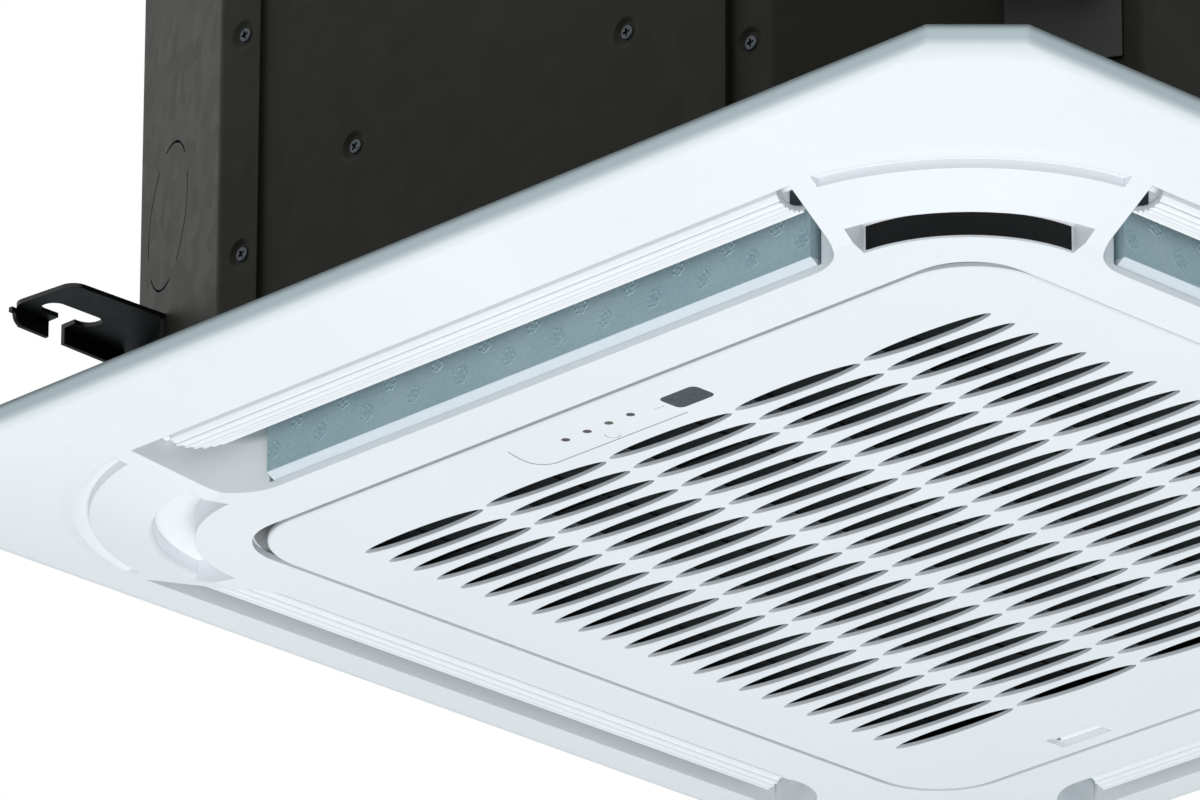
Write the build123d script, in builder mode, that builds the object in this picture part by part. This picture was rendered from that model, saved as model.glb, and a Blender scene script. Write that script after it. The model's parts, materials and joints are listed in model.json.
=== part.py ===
from build123d import *
import os
from math import cos, hypot, radians, sin, tan

os.makedirs("parts", exist_ok=True)

# Four-way ceiling cassette air conditioner, compact class, in millimetres.
# Z is up. The origin is the centre of the panel's lowest face, which looks down into the room.
# +X runs along the grille's slots, -Y is the side of the signal lamps and of the grille's hinge,
# and the pipes leave by the corner between +X and +Y.

# ---------------------------------------------------------------- driving dimensions
# Decorative panel
panel_side = 650
panel_height = 28          # lowest face to the ceiling
rim_height = 5.6           # steep band round the edge
rim_inset = 4.4
rim_corner = 27            # straight cut across each corner
skin = 3                   # moulded wall
corner_centre = 175        # every corner arc turns about (+-175, +-175)
ring_radius = 70           # the flat ring ends here and the border starts to rise
slope_radius = 115         # outside this the corner rises more gently
slope_height = 13.4
groove_radius = 103        # arc groove at each corner
groove_width = 6.5
groove_depth = 3.7
slot_outer = 77            # arc slot at each corner
slot_inner = 60
slot_depth = 11
bullnose = 5               # rounded outer edge of each arc slot
fan_apex = 30              # the ends of the corner arcs fan out from this point
fan_angle = 24.6

# Air outlets in the panel
outlet_inner = 234
outlet_outer = 282.5
outlet_half = 185          # half length along the outer edge
outlet_slant = 18          # degrees that each end leans in
outlet_round = 26
foam_half = 155
foam_back = 222
foam_short = 2.3           # each foam strip stops this far short of its seat's ends
foam_edge = 3              # chamfer along the foam's edges
foam_step = 2              # shadow gap between the panel's lip and the foam
collar_wall = 2.5
duct_inner = 226
duct_outer = 256
duct_half = 150

# Return grille
grille_half = 208
grille_front = 204.5       # hinge side, where the gap is wide
grille_corner = 33
grille_plate = 2.5
grille_gap = 1.6
opening_front = 208
opening_tight = 27         # the opening's corners beside the hinge let the plate's edge swing clear
slot_columns = 5
slot_rows = 24
slot_pitch_x = 70.6
slot_pitch_y = 13.5
slot_half_length = 32.6
slot_half_width = 4.1
slot_lean = 2.0            # one tip lies this much nearer the hinge side
grille_rim_inset = 8
grille_rim_height = 8
hinge_half = 140
hinge_inset = 2.5
hinge_height = 3.6
hinge_pin_radius = 1.0
knuckle_radius = 2.4
knuckle_length = 12
lug_gap = 0.3
lug_wall = 2.2
lug_arm = 8.2              # underside of each lug's arm
ring_wall_height = 18
post_place = 190           # fixing posts in the opening's corners
post_radius = 5
post_bottom = 14
web_reach = 16             # rib from each post to the opening's wall
screw_radius = 2
edge_break = 0.8
running_gap = 0.06
latch_place = 112
latch_half = 13
latch_height = 3.1
latch_sheet = 2
latch_back = 186.5
latch_tip = 207.6
recess_low = 189
recess_high = 200
filter_half = 199
filter_height = 4
filter_cut = 30
filter_cell = 40
lamp_line = -186
lamp_first = -34.4
lamp_pitch = 12.2
lamp_radius = 1.75
board_height = 6
board_sheet = 1.6
window_x = 30.6
window_y = -182.9
button_x = -17.6
button_y = -176.3
button_radius = 3
button_travel = 0.8

# Casing
casing_half_x = 282.5
casing_half_y = 262.5
chamfer_x = 125
chamfer_y = 70
casing_height = 260
sheet = 1.0
bend = 8
flange_seam = 134          # the end sheets stop here on the long walls
bracket_height = 77        # hanger plate above the ceiling
hanger_inset_x = 20        # middle of the hanger slot, in from the casing's widest faces
hanger_inset_y = 15.5
hanger_slot = 11.5
bracket_sheet = 2.0

# Inner parts
pan_height = 45
pan_clearance = 2.2
trough_floor = 19
coil_half = 215
coil_depth = 28
coil_corner = 60
coil_end = 110
liner_wall = 6
throat_radius = 122
bell_radius = 160
bell_flange = 172
fan_radius = 150
blade_count = 7
blade_inner = 84
motor_radius = 50
shaft_radius = 4
gas_radius = 6.35
liquid_radius = 3.175
drain_radius = 13
pump_radius = 24

# Louvre flap, as seen from its end: across the outlet and up
pivot_across = 268
pivot_up = 20.5
pivot_radius = 2
arm_radius = 4
flap_half = 167            # outer face of each arm
flap_end_gap = 11.9        # along the outlet, from the flap's end to the outlet's end
flap_line = [              # underside of the blade, from its nose to its inner edge
    (275, 16.6), (274.6, 14.4), (273.3, 13.3), (271.4, 12.6), (267.6, 12.5), (263.9, 12.8),
    (260.1, 13.8), (256.3, 15.3), (252.5, 17.1), (249.6, 18.9), (246, 21.6), (244, 23.2),
]
flap_rib = 0.7
flap_wall = 2.2
louvre_motor_radius = 6.2
louvre_motor_length = 8
motor_seat = 186.5         # flat seat of each louvre motor

# Smaller features, each with its own size
seat_gap = 0.1
seat_clear = 0.5           # the foam's seat runs this far into the outlet
rib_rise = 4
grille_rim_wall = 2
lamp_places = [(lamp_first + lamp_pitch * k, lamp_line) for k in range(4)]
window_wide = 20
window_high = 13
sound_x = 15.2
board_x = 0
board_y = -181
board_wide = 100
board_deep = 20
board_posts = [(board_x - 46, board_y), (board_x + 46, board_y)]
pin_reach = 4              # how far each pivot enters its louvre motor
foot_width = 6             # inward foot of the casing
tab_start = 262
tab_wide = 24
dimple_depth = 1.2
dimple_radius = 6.5
wall_screw = 1.8
screw_head = 1.6
hem = 3
flange_end = 116           # the end sheets reach this far under the long walls
flange_screw_x = 144
flange_screw_low = 91
flange_screw_high = 188
wall_screw_x = 77
wall_screw_z = 117
knockout_along = 53        # from the front bend of the cut corner
knockout_height = 150
knockout_wide = 70
knockout_high = 62
top_dish = 120
motor_foot = 56
pipe_height = 205          # middle of the pipe window
window_run = 104
window_rise = 76
gas_run = -28
gas_in = -88
gas_z = 200
liquid_run = 45
liquid_in = -62
liquid_z = 184
drain_z = 226
drain_inner = 9
pipe_out = 42
header_low = 92
pipe_gap = 0.15
hook_side = 43.5           # right edge of the hanger plate, in from the casing's end
hook_front = 4.5           # front edge, out from the casing's long wall
hook_tilt = 3.2            # the open edge's corner stands this much further out
hook_open = 7.5            # open edge, in from the casing's end
hook_lean = 3
hook_back = 57.5           # end of the open edge, in from the casing's long wall
hook_round = 7
hook_lip = 7
lip_round = 5
hook_wrap = 2              # the lip starts this far in from the plate's corner
hanger_run = 18.5
hanger_mouth = 9
mouth_shift = 2.5
leg_low = 92               # along the cut corner from its front bend
leg_high = 138
leg_drop = 42
pan_eye = 164
trough_outer = 218
trough_inner = 184
corner_gap = 5
sump_drop = 8
sump_radius = 30
pump_place = 184
plug_place = 172
plug_radius = 7
box_bottom = 21
box_top = 44.5
box_near = 176
box_far = 207
box_wide = 190
lid_sheet = 1.5
terminal_x = 62
terminal_long = 52
terminal_tall = 14
board_shift = -30
circuit_long = 110
bell_top = 80
bell_wall = 2
bell_straight = 6
shroud_inlet = 124
shroud_bottom = 77
shroud_top = 98
hub_plate = 206
fan_wall = 2
cone_radius = 76
cone_foot = 22
cone_bottom = 158
hub_long = 14
blade_sweep = 46
blade_bow = 3
blade_thick = 3
blade_lead = 0.42          # share of the sweep at each blade's middle
nut_high = 7
motor_low = 195
motor_high = 266
liner_eye = 68
tube_radius = 3.5
tube_pitch = 20
tube_pairs = 5
pump_bottom = 75
pump_tall = 62
pump_reach = 48
float_x = 199
float_y = 169
float_radius = 8
float_low = 46
float_high = 12
float_travel = 8

# ---------------------------------------------------------------- derived heights
casing_bottom = panel_height + 2
casing_top_z = casing_bottom + casing_height
casing_reach = hypot(casing_half_x, casing_half_y)
pan_bottom = casing_bottom + sheet
pan_top = pan_bottom + pan_height
coil_bottom = pan_bottom + trough_floor
liner_top = casing_top_z - sheet
liner_disc = 8
coil_top = liner_top - liner_disc
hinge_y = hinge_inset - grille_front
grille_mid = (grille_half - grille_front) / 2
opening_half = grille_half + grille_gap
opening_corner = grille_corner + grille_gap
ring_wall_inner = opening_half + 1.5
ring_wall_outer = ring_wall_inner + collar_wall
rail_back = foam_back - collar_wall
border_slope = slope_height / (slope_radius - ring_radius)
groove_low = border_slope * (groove_radius - ring_radius)
groove_far = border_slope * (groove_radius + groove_width - ring_radius)


# ---------------------------------------------------------------- shared outlines
def cut_square(half, cut, rounded=False):
    """Closed line of a square whose corners are cut back, straight or round."""
    near = half - cut
    with BuildLine() as outline:
        for turn in (0, 90, 180, 270):
            Line(Vector(-near, -half).rotate(Axis.Z, turn), Vector(near, -half).rotate(Axis.Z, turn))
            if rounded:
                CenterArc(Vector(near, -near).rotate(Axis.Z, turn), cut, turn - 90, 90)
            else:
                Line(Vector(near, -half).rotate(Axis.Z, turn), Vector(half, -near).rotate(Axis.Z, turn))
    return outline.line


def panel_solid(inset, lift):
    """The panel's outer form, filled: a flat ring, a border that rises outward and a steep rim."""
    ring = corner_centre + ring_radius - inset
    slope = corner_centre + slope_radius - inset
    rim = panel_side / 2 - rim_inset - inset
    edge = panel_side / 2 - inset
    rim_bottom = panel_height - rim_height + lift
    with BuildPart() as body:
        with BuildSketch(Plane.XY.offset(lift)):
            add(cut_square(ring, ring_radius - inset, rounded=True))
            make_face()
        with BuildSketch(Plane.XY.offset(slope_height + lift)):
            add(cut_square(slope, slope_radius - inset, rounded=True))
            make_face()
        loft(ruled=True)
        with BuildSketch(Plane.XY.offset(slope_height + lift)):
            add(cut_square(slope, slope_radius - inset, rounded=True))
            make_face()
        with BuildSketch(Plane.XY.offset(rim_bottom)):
            add(cut_square(rim, rim_corner))
            make_face()
        loft(ruled=True)
        with BuildSketch(Plane.XY.offset(rim_bottom)):
            add(cut_square(rim, rim_corner))
            make_face()
        with BuildSketch(Plane.XY.offset(panel_height + lift)):
            add(cut_square(edge, rim_corner))
            make_face()
        loft(ruled=True)
    return body.part


def outlet_face(grow):
    """One air outlet seen from below, on the -Y side."""
    lean = tan(radians(outlet_slant)) * (outlet_outer - outlet_inner)
    with BuildSketch() as face:
        Polygon(
            (-outlet_half, -outlet_outer), (outlet_half, -outlet_outer),
            (outlet_half - lean, -outlet_inner), (lean - outlet_half, -outlet_inner),
            align=None,
        )
        fillet(face.vertices().group_by(Axis.Y)[-1], radius=outlet_round)
        if grow:
            offset(amount=grow, kind=Kind.INTERSECTION)
    return face.sketch


def duct_face():
    """The air duct above one outlet, on the -Y side."""
    lean = tan(radians(outlet_slant)) * (duct_outer - duct_inner)
    with BuildSketch() as face:
        Polygon(
            (-duct_half, -duct_outer), (duct_half, -duct_outer),
            (duct_half + lean, -duct_inner), (-duct_half - lean, -duct_inner),
            align=None,
        )
    return face.sketch


def corner_wedge(widen=0.0):
    """The fan-shaped field of one corner's arcs, at the corner between +X and -Y."""
    apex = corner_centre - fan_apex
    reach = 220
    low = radians(-45 - fan_angle)
    high = radians(-45 + fan_angle)
    with BuildSketch() as wedge:
        Polygon(
            (apex, -apex),
            (apex + reach * cos(low), -apex + reach * sin(low)),
            (apex + reach * cos(high), -apex + reach * sin(high)),
            align=None,
        )
        if widen:
            offset(amount=widen, kind=Kind.INTERSECTION)
    return wedge.sketch


def casing_face(inset):
    """Long octagon of the casing, seen from above."""
    near_x = casing_half_x - chamfer_x
    near_y = casing_half_y - chamfer_y
    with BuildSketch() as face:
        Polygon(
            (near_x, -casing_half_y), (casing_half_x, -near_y), (casing_half_x, near_y),
            (near_x, casing_half_y), (-near_x, casing_half_y), (-casing_half_x, near_y),
            (-casing_half_x, -near_y), (-near_x, -casing_half_y),
            align=None,
        )
        fillet(face.vertices(), radius=bend)
        if inset:
            offset(amount=-inset)
    return face.sketch


def save(name, piece):
    """Label a finished piece and write it."""
    piece.part.label = name
    export_step(piece.part, f"parts/{name}.step")


# ---------------------------------------------------------------- decorative panel
panel_form = panel_solid(0, 0)
panel_hollow = panel_solid(skin, skin)


def arc_ring(outer, inner, widen, low, high):
    """Part of a ring about one corner's centre, inside that corner's wedge."""
    with BuildPart() as band:
        with BuildSketch(Plane.XY.offset(low)):
            with Locations((corner_centre, -corner_centre)):
                Circle(outer)
                Circle(inner, mode=Mode.SUBTRACT)
            add(corner_wedge(widen), mode=Mode.INTERSECT)
        extrude(amount=high - low)
    return band.part


def turned_cut(points, round_to=None):
    """A profile of radius and height turned about one corner's centre, kept inside its wedge."""
    corner = Plane(origin=(corner_centre, -corner_centre, 0), x_dir=(1, 0, 0), z_dir=(0, -1, 0))
    with BuildPart() as tool:
        with BuildSketch(corner):
            Polygon(*points, align=None)
            if round_to:
                with Locations(round_to):
                    Circle(bullnose, mode=Mode.SUBTRACT)
        revolve(axis=Axis((corner_centre, -corner_centre, 0), (0, 0, 1)))
        with BuildSketch():
            add(corner_wedge())
        extrude(amount=panel_height, mode=Mode.INTERSECT)
    return tool.part


groove_tool = turned_cut([
    (groove_radius, 0), (groove_radius, groove_low + groove_depth),
    (groove_radius + groove_width, groove_far), (groove_radius + groove_width, 0),
])
slot_tool = turned_cut([
    (slot_inner, 0), (slot_inner, slot_depth), (slot_outer, slot_depth),
    (slot_outer, bullnose), (slot_outer + bullnose, bullnose), (slot_outer + bullnose, 0),
], round_to=(slot_outer + bullnose, bullnose + border_slope * skin))

with BuildPart() as collars:
    with BuildSketch():
        with PolarLocations(0, 4):
            add(outlet_face(collar_wall))
            with Locations((0, -(outlet_inner + rail_back) / 2)):
                Rectangle(2 * foam_half + 2 * collar_wall, outlet_inner - rail_back)
    extrude(amount=panel_height)
    with BuildSketch():
        add(cut_square(ring_wall_outer, opening_corner + collar_wall + 1.5, rounded=True))
        make_face()
    extrude(amount=ring_wall_height)
    for turn in (0, 90, 180, 270):
        slot_box = arc_ring(
            slot_outer + 2 * bullnose, slot_inner - collar_wall, collar_wall, 0, slot_depth + skin,
        )
        add(slot_box.rotate(Axis.Z, turn))
        groove_box = arc_ring(
            groove_radius + groove_width + collar_wall, groove_radius - collar_wall, collar_wall,
            0, groove_low + groove_depth + skin,
        )
        add(groove_box.rotate(Axis.Z, turn))
    add(panel_form, mode=Mode.INTERSECT)

with BuildPart() as pivots:
    with BuildSketch(Plane.YZ.offset(-motor_seat)):
        with Locations((-pivot_across, pivot_up)):
            Circle(pivot_radius + running_gap)
    extrude(amount=2 * motor_seat)

with BuildPart() as motor_boss:
    with BuildSketch(Plane.YZ.offset(motor_seat - 2 * skin)):
        with Locations((-pivot_across, pivot_up)):
            Circle(louvre_motor_radius + 0.4)
    extrude(amount=2 * skin)

with BuildPart() as panel_frame:
    add(panel_form)
    add(panel_hollow, mode=Mode.SUBTRACT)
    add(collars.part)
    # Flat seats of the louvre motors
    for turn in (0, 90, 180, 270):
        add(motor_boss.part.rotate(Axis.Z, turn))
    # Air outlets, each left with a plate above its outer part
    with BuildSketch():
        with PolarLocations(0, 4):
            add(outlet_face(0))
    extrude(amount=panel_height - skin, mode=Mode.SUBTRACT)
    with BuildSketch(Plane.XY.offset(panel_height - skin)):
        with PolarLocations(0, 4):
            add(outlet_face(0))
        Rectangle(2 * duct_outer, 2 * duct_outer, mode=Mode.INTERSECT)
    extrude(amount=skin, mode=Mode.SUBTRACT)
    # Seats of the foam strips behind each outlet's lip
    with BuildSketch(Plane.XY.offset(skin)):
        with PolarLocations(0, 4):
            with Locations((0, -(foam_back + outlet_inner + seat_clear) / 2)):
                Rectangle(2 * foam_half, outlet_inner + seat_clear - foam_back)
    extrude(amount=panel_height, mode=Mode.SUBTRACT)
    # Opening for the grille
    with BuildSketch():
        with Locations((0, (opening_half - opening_front) / 2)):
            RectangleRounded(2 * opening_half, opening_half + opening_front, opening_corner)
        with Locations((0, -opening_front / 2)):
            RectangleRounded(2 * opening_half, opening_front, opening_tight)
    extrude(amount=skin, mode=Mode.SUBTRACT)
    with BuildSketch(Plane.XY.offset(skin)):
        add(cut_square(ring_wall_inner, opening_corner + 1.5, rounded=True))
        make_face()
    extrude(amount=panel_height, mode=Mode.SUBTRACT)
    # Corner slots and grooves
    for turn in (0, 90, 180, 270):
        add(slot_tool.rotate(Axis.Z, turn), mode=Mode.SUBTRACT)
        add(groove_tool.rotate(Axis.Z, turn), mode=Mode.SUBTRACT)
    # The slot by the lamps' right-hand end is open to the inside
    slot_window = arc_ring(slot_inner + skin, slot_inner - collar_wall - skin, -1, skin, slot_depth)
    add(slot_window, mode=Mode.SUBTRACT)
    # Fixing posts inside the four corners of the opening
    for turn in (0, 90, 180, 270):
        with BuildSketch(Plane.XY.offset(post_bottom)):
            with Locations(Location(Vector(post_place, -post_place).rotate(Axis.Z, turn), turn - 45)):
                with Locations((web_reach / 2, 0)):
                    Rectangle(web_reach, skin)
        extrude(amount=ring_wall_height - post_bottom)
        with BuildSketch(Plane.XY.offset(post_bottom)):
            with Locations(Vector(post_place, -post_place).rotate(Axis.Z, turn)):
                Circle(post_radius)
        extrude(amount=casing_bottom - post_bottom)
        with BuildSketch(Plane.XY.offset(post_bottom)):
            with Locations(Vector(post_place, -post_place).rotate(Axis.Z, turn)):
                Circle(screw_radius + running_gap)
        extrude(amount=casing_bottom - post_bottom, mode=Mode.SUBTRACT)
    # Hinge lugs with their pins
    for side in (-1, 1):
        for end in (-1, 1):
            lug_x = side * hinge_half + end * (knuckle_length / 2 + lug_gap + lug_wall / 2)
            with BuildSketch(Plane.YZ.offset(lug_x - lug_wall / 2)):
                Polygon(
                    (-ring_wall_inner - 1, lug_arm), (-ring_wall_inner - 1, ring_wall_height),
                    (hinge_y + hinge_pin_radius, ring_wall_height),
                    (hinge_y + hinge_pin_radius, hinge_height),
                    (hinge_y - hinge_pin_radius, hinge_height), (hinge_y - hinge_pin_radius, lug_arm),
                    align=None,
                )
            extrude(amount=lug_wall)
        with BuildSketch(Plane.YZ.offset(side * hinge_half - knuckle_length / 2 - lug_gap - lug_wall)):
            with Locations((hinge_y, hinge_height)):
                Circle(hinge_pin_radius)
        extrude(amount=knuckle_length + 2 * lug_gap + 2 * lug_wall)
    # Holes for the flaps' pivots and the louvre motors' shafts, in the outlets' ends
    for turn in (0, 90, 180, 270):
        add(pivots.part.rotate(Axis.Z, turn), mode=Mode.SUBTRACT)
    # Windows for the latches' tongues
    with BuildSketch(Plane.XY.offset(skin)):
        with Locations((-latch_place, ring_wall_inner), (latch_place, ring_wall_inner)):
            Rectangle(2 * latch_half + 2, 4 * collar_wall)
    extrude(amount=latch_sheet + 1, mode=Mode.SUBTRACT)

save("panel_frame", panel_frame)

# ---------------------------------------------------------------- foam linings of the outlets
for side, turn in (("front", 0), ("right", 90), ("back", 180), ("left", 270)):
    with BuildPart() as outlet_foam:
        with BuildSketch(Plane.YZ.offset(foam_short - foam_half)):
            Polygon(
                (-foam_back - seat_gap, skin), (foam_edge - outlet_inner, skin),
                (foam_edge - outlet_inner, skin + foam_step), (-outlet_inner, skin + foam_step + foam_edge),
                (-outlet_inner, casing_bottom - foam_edge), (foam_edge - outlet_inner, casing_bottom),
                (-foam_back - seat_gap, casing_bottom),
                align=None,
            )
        extrude(amount=2 * (foam_half - foam_short))
    outlet_foam.part = outlet_foam.part.rotate(Axis.Z, turn)
    save(f"outlet_foam_{side}", outlet_foam)

# ---------------------------------------------------------------- louvre flaps
blade_top = [(across, up + flap_wall) for across, up in flap_line]
blade_ring = [(-across, up) for across, up in flap_line + blade_top[::-1]]
rib_places = [(-across, up) for across, up in flap_line[3:9]]
flap_ends = (-flap_half, flap_half - flap_wall)
flap_lean = tan(radians(outlet_slant)) * (outlet_outer - outlet_inner)

for side, turn in (("front", 0), ("right", 90), ("back", 180), ("left", 270)):
    with BuildPart() as flap:
        with BuildSketch(Plane.YZ.offset(-outlet_half)):
            Polygon(*blade_ring, align=None)
        extrude(amount=2 * outlet_half)
        # Shallow ribs along the underside steer the air
        with BuildSketch(Plane.YZ.offset(-outlet_half)):
            with Locations(*rib_places):
                Circle(flap_rib)
        extrude(amount=2 * outlet_half)
        # The ends lean in like the outlet's own
        with BuildSketch():
            Polygon(
                (flap_end_gap - outlet_half, -outlet_outer), (outlet_half - flap_end_gap, -outlet_outer),
                (outlet_half - flap_end_gap - flap_lean, -outlet_inner),
                (flap_end_gap + flap_lean - outlet_half, -outlet_inner), align=None,
            )
        extrude(amount=panel_height, mode=Mode.INTERSECT)
        # An arm at each end rises to the pivot
        for start in flap_ends:
            with BuildSketch(Plane.YZ.offset(start)):
                with Locations((-pivot_across, pivot_up)):
                    Circle(arm_radius)
                Polygon(
                    (-pivot_across - arm_radius, pivot_up), (-flap_line[3][0], flap_line[3][1]),
                    (-flap_line[5][0], flap_line[5][1]), (-pivot_across + arm_radius, pivot_up),
                    align=None,
                )
            extrude(amount=flap_wall)
        with BuildSketch(Plane.YZ.offset(-motor_seat - pin_reach)):
            with Locations((-pivot_across, pivot_up)):
                Circle(pivot_radius)
        extrude(amount=motor_seat + pin_reach - flap_half)
        with BuildSketch(Plane.YZ.offset(flap_half)):
            with Locations((-pivot_across, pivot_up)):
                Circle(pivot_radius)
        extrude(amount=motor_seat + pin_reach - flap_half)
    flap.part = flap.part.rotate(Axis.Z, turn)
    save(f"flap_{side}", flap)

    with BuildPart() as louvre_motor:
        with BuildSketch(Plane.YZ.offset(motor_seat)):
            with Locations((-pivot_across, pivot_up)):
                Circle(louvre_motor_radius)
                Circle(pivot_radius + running_gap, mode=Mode.SUBTRACT)
        extrude(amount=louvre_motor_length)
        with BuildSketch(Plane.YZ.offset(motor_seat + louvre_motor_length)):
            with Locations((-pivot_across, pivot_up)):
                Circle(louvre_motor_radius - 1)
        extrude(amount=1)
    louvre_motor.part = louvre_motor.part.rotate(Axis.Z, turn)
    save(f"louvre_motor_{side}", louvre_motor)

# ---------------------------------------------------------------- return grille
with BuildSketch() as lens:
    with BuildLine():
        ThreePointArc((-slot_half_length, -slot_lean), (0, slot_half_width), (slot_half_length, slot_lean))
        ThreePointArc((-slot_half_length, -slot_lean), (0, -slot_half_width), (slot_half_length, slot_lean))
    make_face()


def grille_outline(inset):
    """Outline of the grille's plate, drawn in from its edge."""
    with BuildSketch() as outline:
        with Locations((0, grille_mid)):
            RectangleRounded(
                2 * (grille_half - inset), grille_half + grille_front - 2 * inset, grille_corner - inset,
            )
    return outline.sketch


rim_outer = grille_half - grille_rim_inset

with BuildPart() as return_grille:
    with BuildSketch():
        add(grille_outline(edge_break))
    with BuildSketch(Plane.XY.offset(edge_break)):
        add(grille_outline(0))
    loft(ruled=True)
    with BuildSketch(Plane.XY.offset(edge_break)):
        add(grille_outline(0))
    extrude(amount=grille_plate - edge_break)
    with BuildSketch(Plane.XY.offset(grille_plate)):
        add(grille_outline(grille_rim_inset))
        add(grille_outline(grille_rim_inset + grille_rim_wall), mode=Mode.SUBTRACT)
    extrude(amount=grille_rim_height - grille_plate)
    # Ribs between the columns of slots stiffen the plate
    with BuildSketch(Plane.XY.offset(grille_plate)):
        with GridLocations(slot_pitch_x, 1, slot_columns - 1, 1):
            Rectangle(grille_rim_wall, slot_rows * slot_pitch_y)
    extrude(amount=rib_rise)
    with BuildSketch():
        with GridLocations(slot_pitch_x, slot_pitch_y, slot_columns, slot_rows):
            add(lens.sketch)
    extrude(amount=grille_plate, mode=Mode.SUBTRACT)
    # Hinge knuckles
    for side in (-1, 1):
        with BuildSketch(Plane.YZ.offset(side * hinge_half - knuckle_length / 2)):
            with Locations((hinge_y, hinge_height)):
                Circle(knuckle_radius)
        extrude(amount=knuckle_length)
    with BuildSketch(Plane.YZ.offset(-hinge_half - knuckle_length)):
        with Locations((hinge_y, hinge_height)):
            Circle(hinge_pin_radius + running_gap)
    extrude(amount=2 * (hinge_half + knuckle_length), mode=Mode.SUBTRACT)
    # Recess, bed and guides of each latch
    latch_places = ((-latch_place, 0), (latch_place, 0))
    bed_mid = (latch_back + rim_outer) / 2
    bed_long = rim_outer - latch_back + 2 * latch_sheet
    with BuildSketch(Plane.XY.offset(grille_plate)):
        with Locations(*latch_places):
            with Locations((0, bed_mid)):
                Rectangle(2 * latch_half + 4, bed_long)
    extrude(amount=latch_height - seat_gap - grille_plate)
    with BuildSketch(Plane.XY.offset(grille_plate)):
        with Locations(*latch_places):
            with Locations((0, latch_back - latch_sheet)):
                Rectangle(2 * latch_half + 4, latch_sheet)
    extrude(amount=2 * latch_sheet)
    with BuildSketch():
        with Locations(*latch_places):
            with Locations((0, (recess_low + recess_high) / 2)):
                Rectangle(2 * latch_half + 2, recess_high - recess_low)
    extrude(amount=latch_height, mode=Mode.SUBTRACT)
    with BuildSketch(Plane.XY.offset(latch_height - seat_gap)):
        with Locations(*latch_places):
            with Locations((0, rim_outer)):
                Rectangle(2 * latch_half + 2 * seat_gap, 4 * grille_rim_wall)
    extrude(amount=latch_sheet + 2 * seat_gap, mode=Mode.SUBTRACT)
    # Holes for the lamps, the receiver window, the buzzer and the test button
    with BuildSketch():
        with Locations(*lamp_places):
            Circle(lamp_radius + seat_gap)
        with Locations((window_x, window_y)):
            RectangleRounded(window_wide + 2 * seat_gap, window_high + 2 * seat_gap, 3)
        with Locations((button_x, button_y)):
            Circle(button_radius + 2 * seat_gap)
        with Locations((sound_x, window_y)):
            with GridLocations(2, 1, 3, 1):
                Circle(0.5)
    extrude(amount=grille_plate, mode=Mode.SUBTRACT)
    # Posts under the display board
    with BuildSketch(Plane.XY.offset(grille_plate)):
        with Locations(*board_posts):
            Circle(2.5)
    extrude(amount=board_height - grille_plate)

save("return_grille", return_grille)

for side, place in (("left", -latch_place), ("right", latch_place)):
    with BuildPart() as latch:
        with BuildSketch(Plane.XY.offset(latch_height)):
            with Locations((place, (latch_back + latch_tip) / 2)):
                Rectangle(2 * latch_half, latch_tip - latch_back)
        extrude(amount=latch_sheet)
        tongue_edges = latch.edges().filter_by(Axis.X).sort_by(Axis.Y)[-2:]
        chamfer(tongue_edges.sort_by(Axis.Z)[:1], length=latch_sheet / 2)
        # Finger tab in the recess
        with BuildSketch(Plane.XY.offset(edge_break)):
            with Locations((place, recess_low + latch_sheet)):
                Rectangle(2 * latch_half - 2, latch_sheet)
        extrude(amount=latch_height)
        fillet(latch.faces().sort_by(Axis.Z)[0].edges().filter_by(Axis.Y), radius=0.4)
    save(f"grille_latch_{side}", latch)

with BuildPart() as display_board:
    with BuildSketch(Plane.XY.offset(board_height)):
        with Locations((board_x, board_y)):
            Rectangle(board_wide, board_deep)
    extrude(amount=board_sheet)

save("display_board", display_board)

for number, place in enumerate(lamp_places, start=1):
    with BuildPart() as lamp:
        with BuildSketch(Plane.XY.offset(0.1)):
            with Locations(place):
                Circle(lamp_radius)
        extrude(amount=board_height - 0.1)
        with BuildSketch(Plane.XY.offset(grille_plate + 0.1)):
            with Locations(place):
                Circle(lamp_radius + 0.5)
        extrude(amount=1)
    save(f"signal_lamp_{number}", lamp)

with BuildPart() as receiver_window:
    with BuildSketch():
        with Locations((window_x, window_y)):
            RectangleRounded(window_wide, window_high, 3)
    extrude(amount=grille_plate)
    with BuildSketch(Plane.XY.offset(grille_plate)):
        with Locations((window_x, window_y)):
            RectangleRounded(window_wide + 3, window_high + 3, 3)
    extrude(amount=1)

save("receiver_window", receiver_window)

with BuildPart() as test_button:
    with BuildSketch(Plane.XY.offset(0.2)):
        with Locations((button_x, button_y)):
            Circle(button_radius)
    extrude(amount=board_height - 0.2 - button_travel - seat_gap)
    with BuildSketch(Plane.XY.offset(grille_plate + seat_gap)):
        with Locations((button_x, button_y)):
            Circle(button_radius + 1)
    extrude(amount=1)

save("test_button", test_button)

# ---------------------------------------------------------------- air filter
with BuildPart() as air_filter:
    with BuildSketch(Plane.XY.offset(grille_rim_height)):
        add(cut_square(filter_half, filter_cut))
        make_face()
        with BuildSketch(mode=Mode.PRIVATE) as filter_hole:
            add(cut_square(filter_half - 10, filter_cut - 4))
            make_face()
        add(filter_hole.sketch, mode=Mode.SUBTRACT)
    extrude(amount=filter_height)
    with BuildSketch(Plane.XY.offset(grille_rim_height)):
        with GridLocations(filter_cell, 1, 9, 1):
            Rectangle(1.6, 2 * filter_half - 8)
        with GridLocations(1, filter_cell, 1, 9):
            Rectangle(2 * filter_half - 8, 1.6)
    extrude(amount=filter_height - 1)
    with BuildSketch(Plane.XY.offset(grille_rim_height + 1)):
        add(cut_square(filter_half - 9, filter_cut - 3))
        make_face()
    extrude(amount=0.4)

save("air_filter", air_filter)

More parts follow.
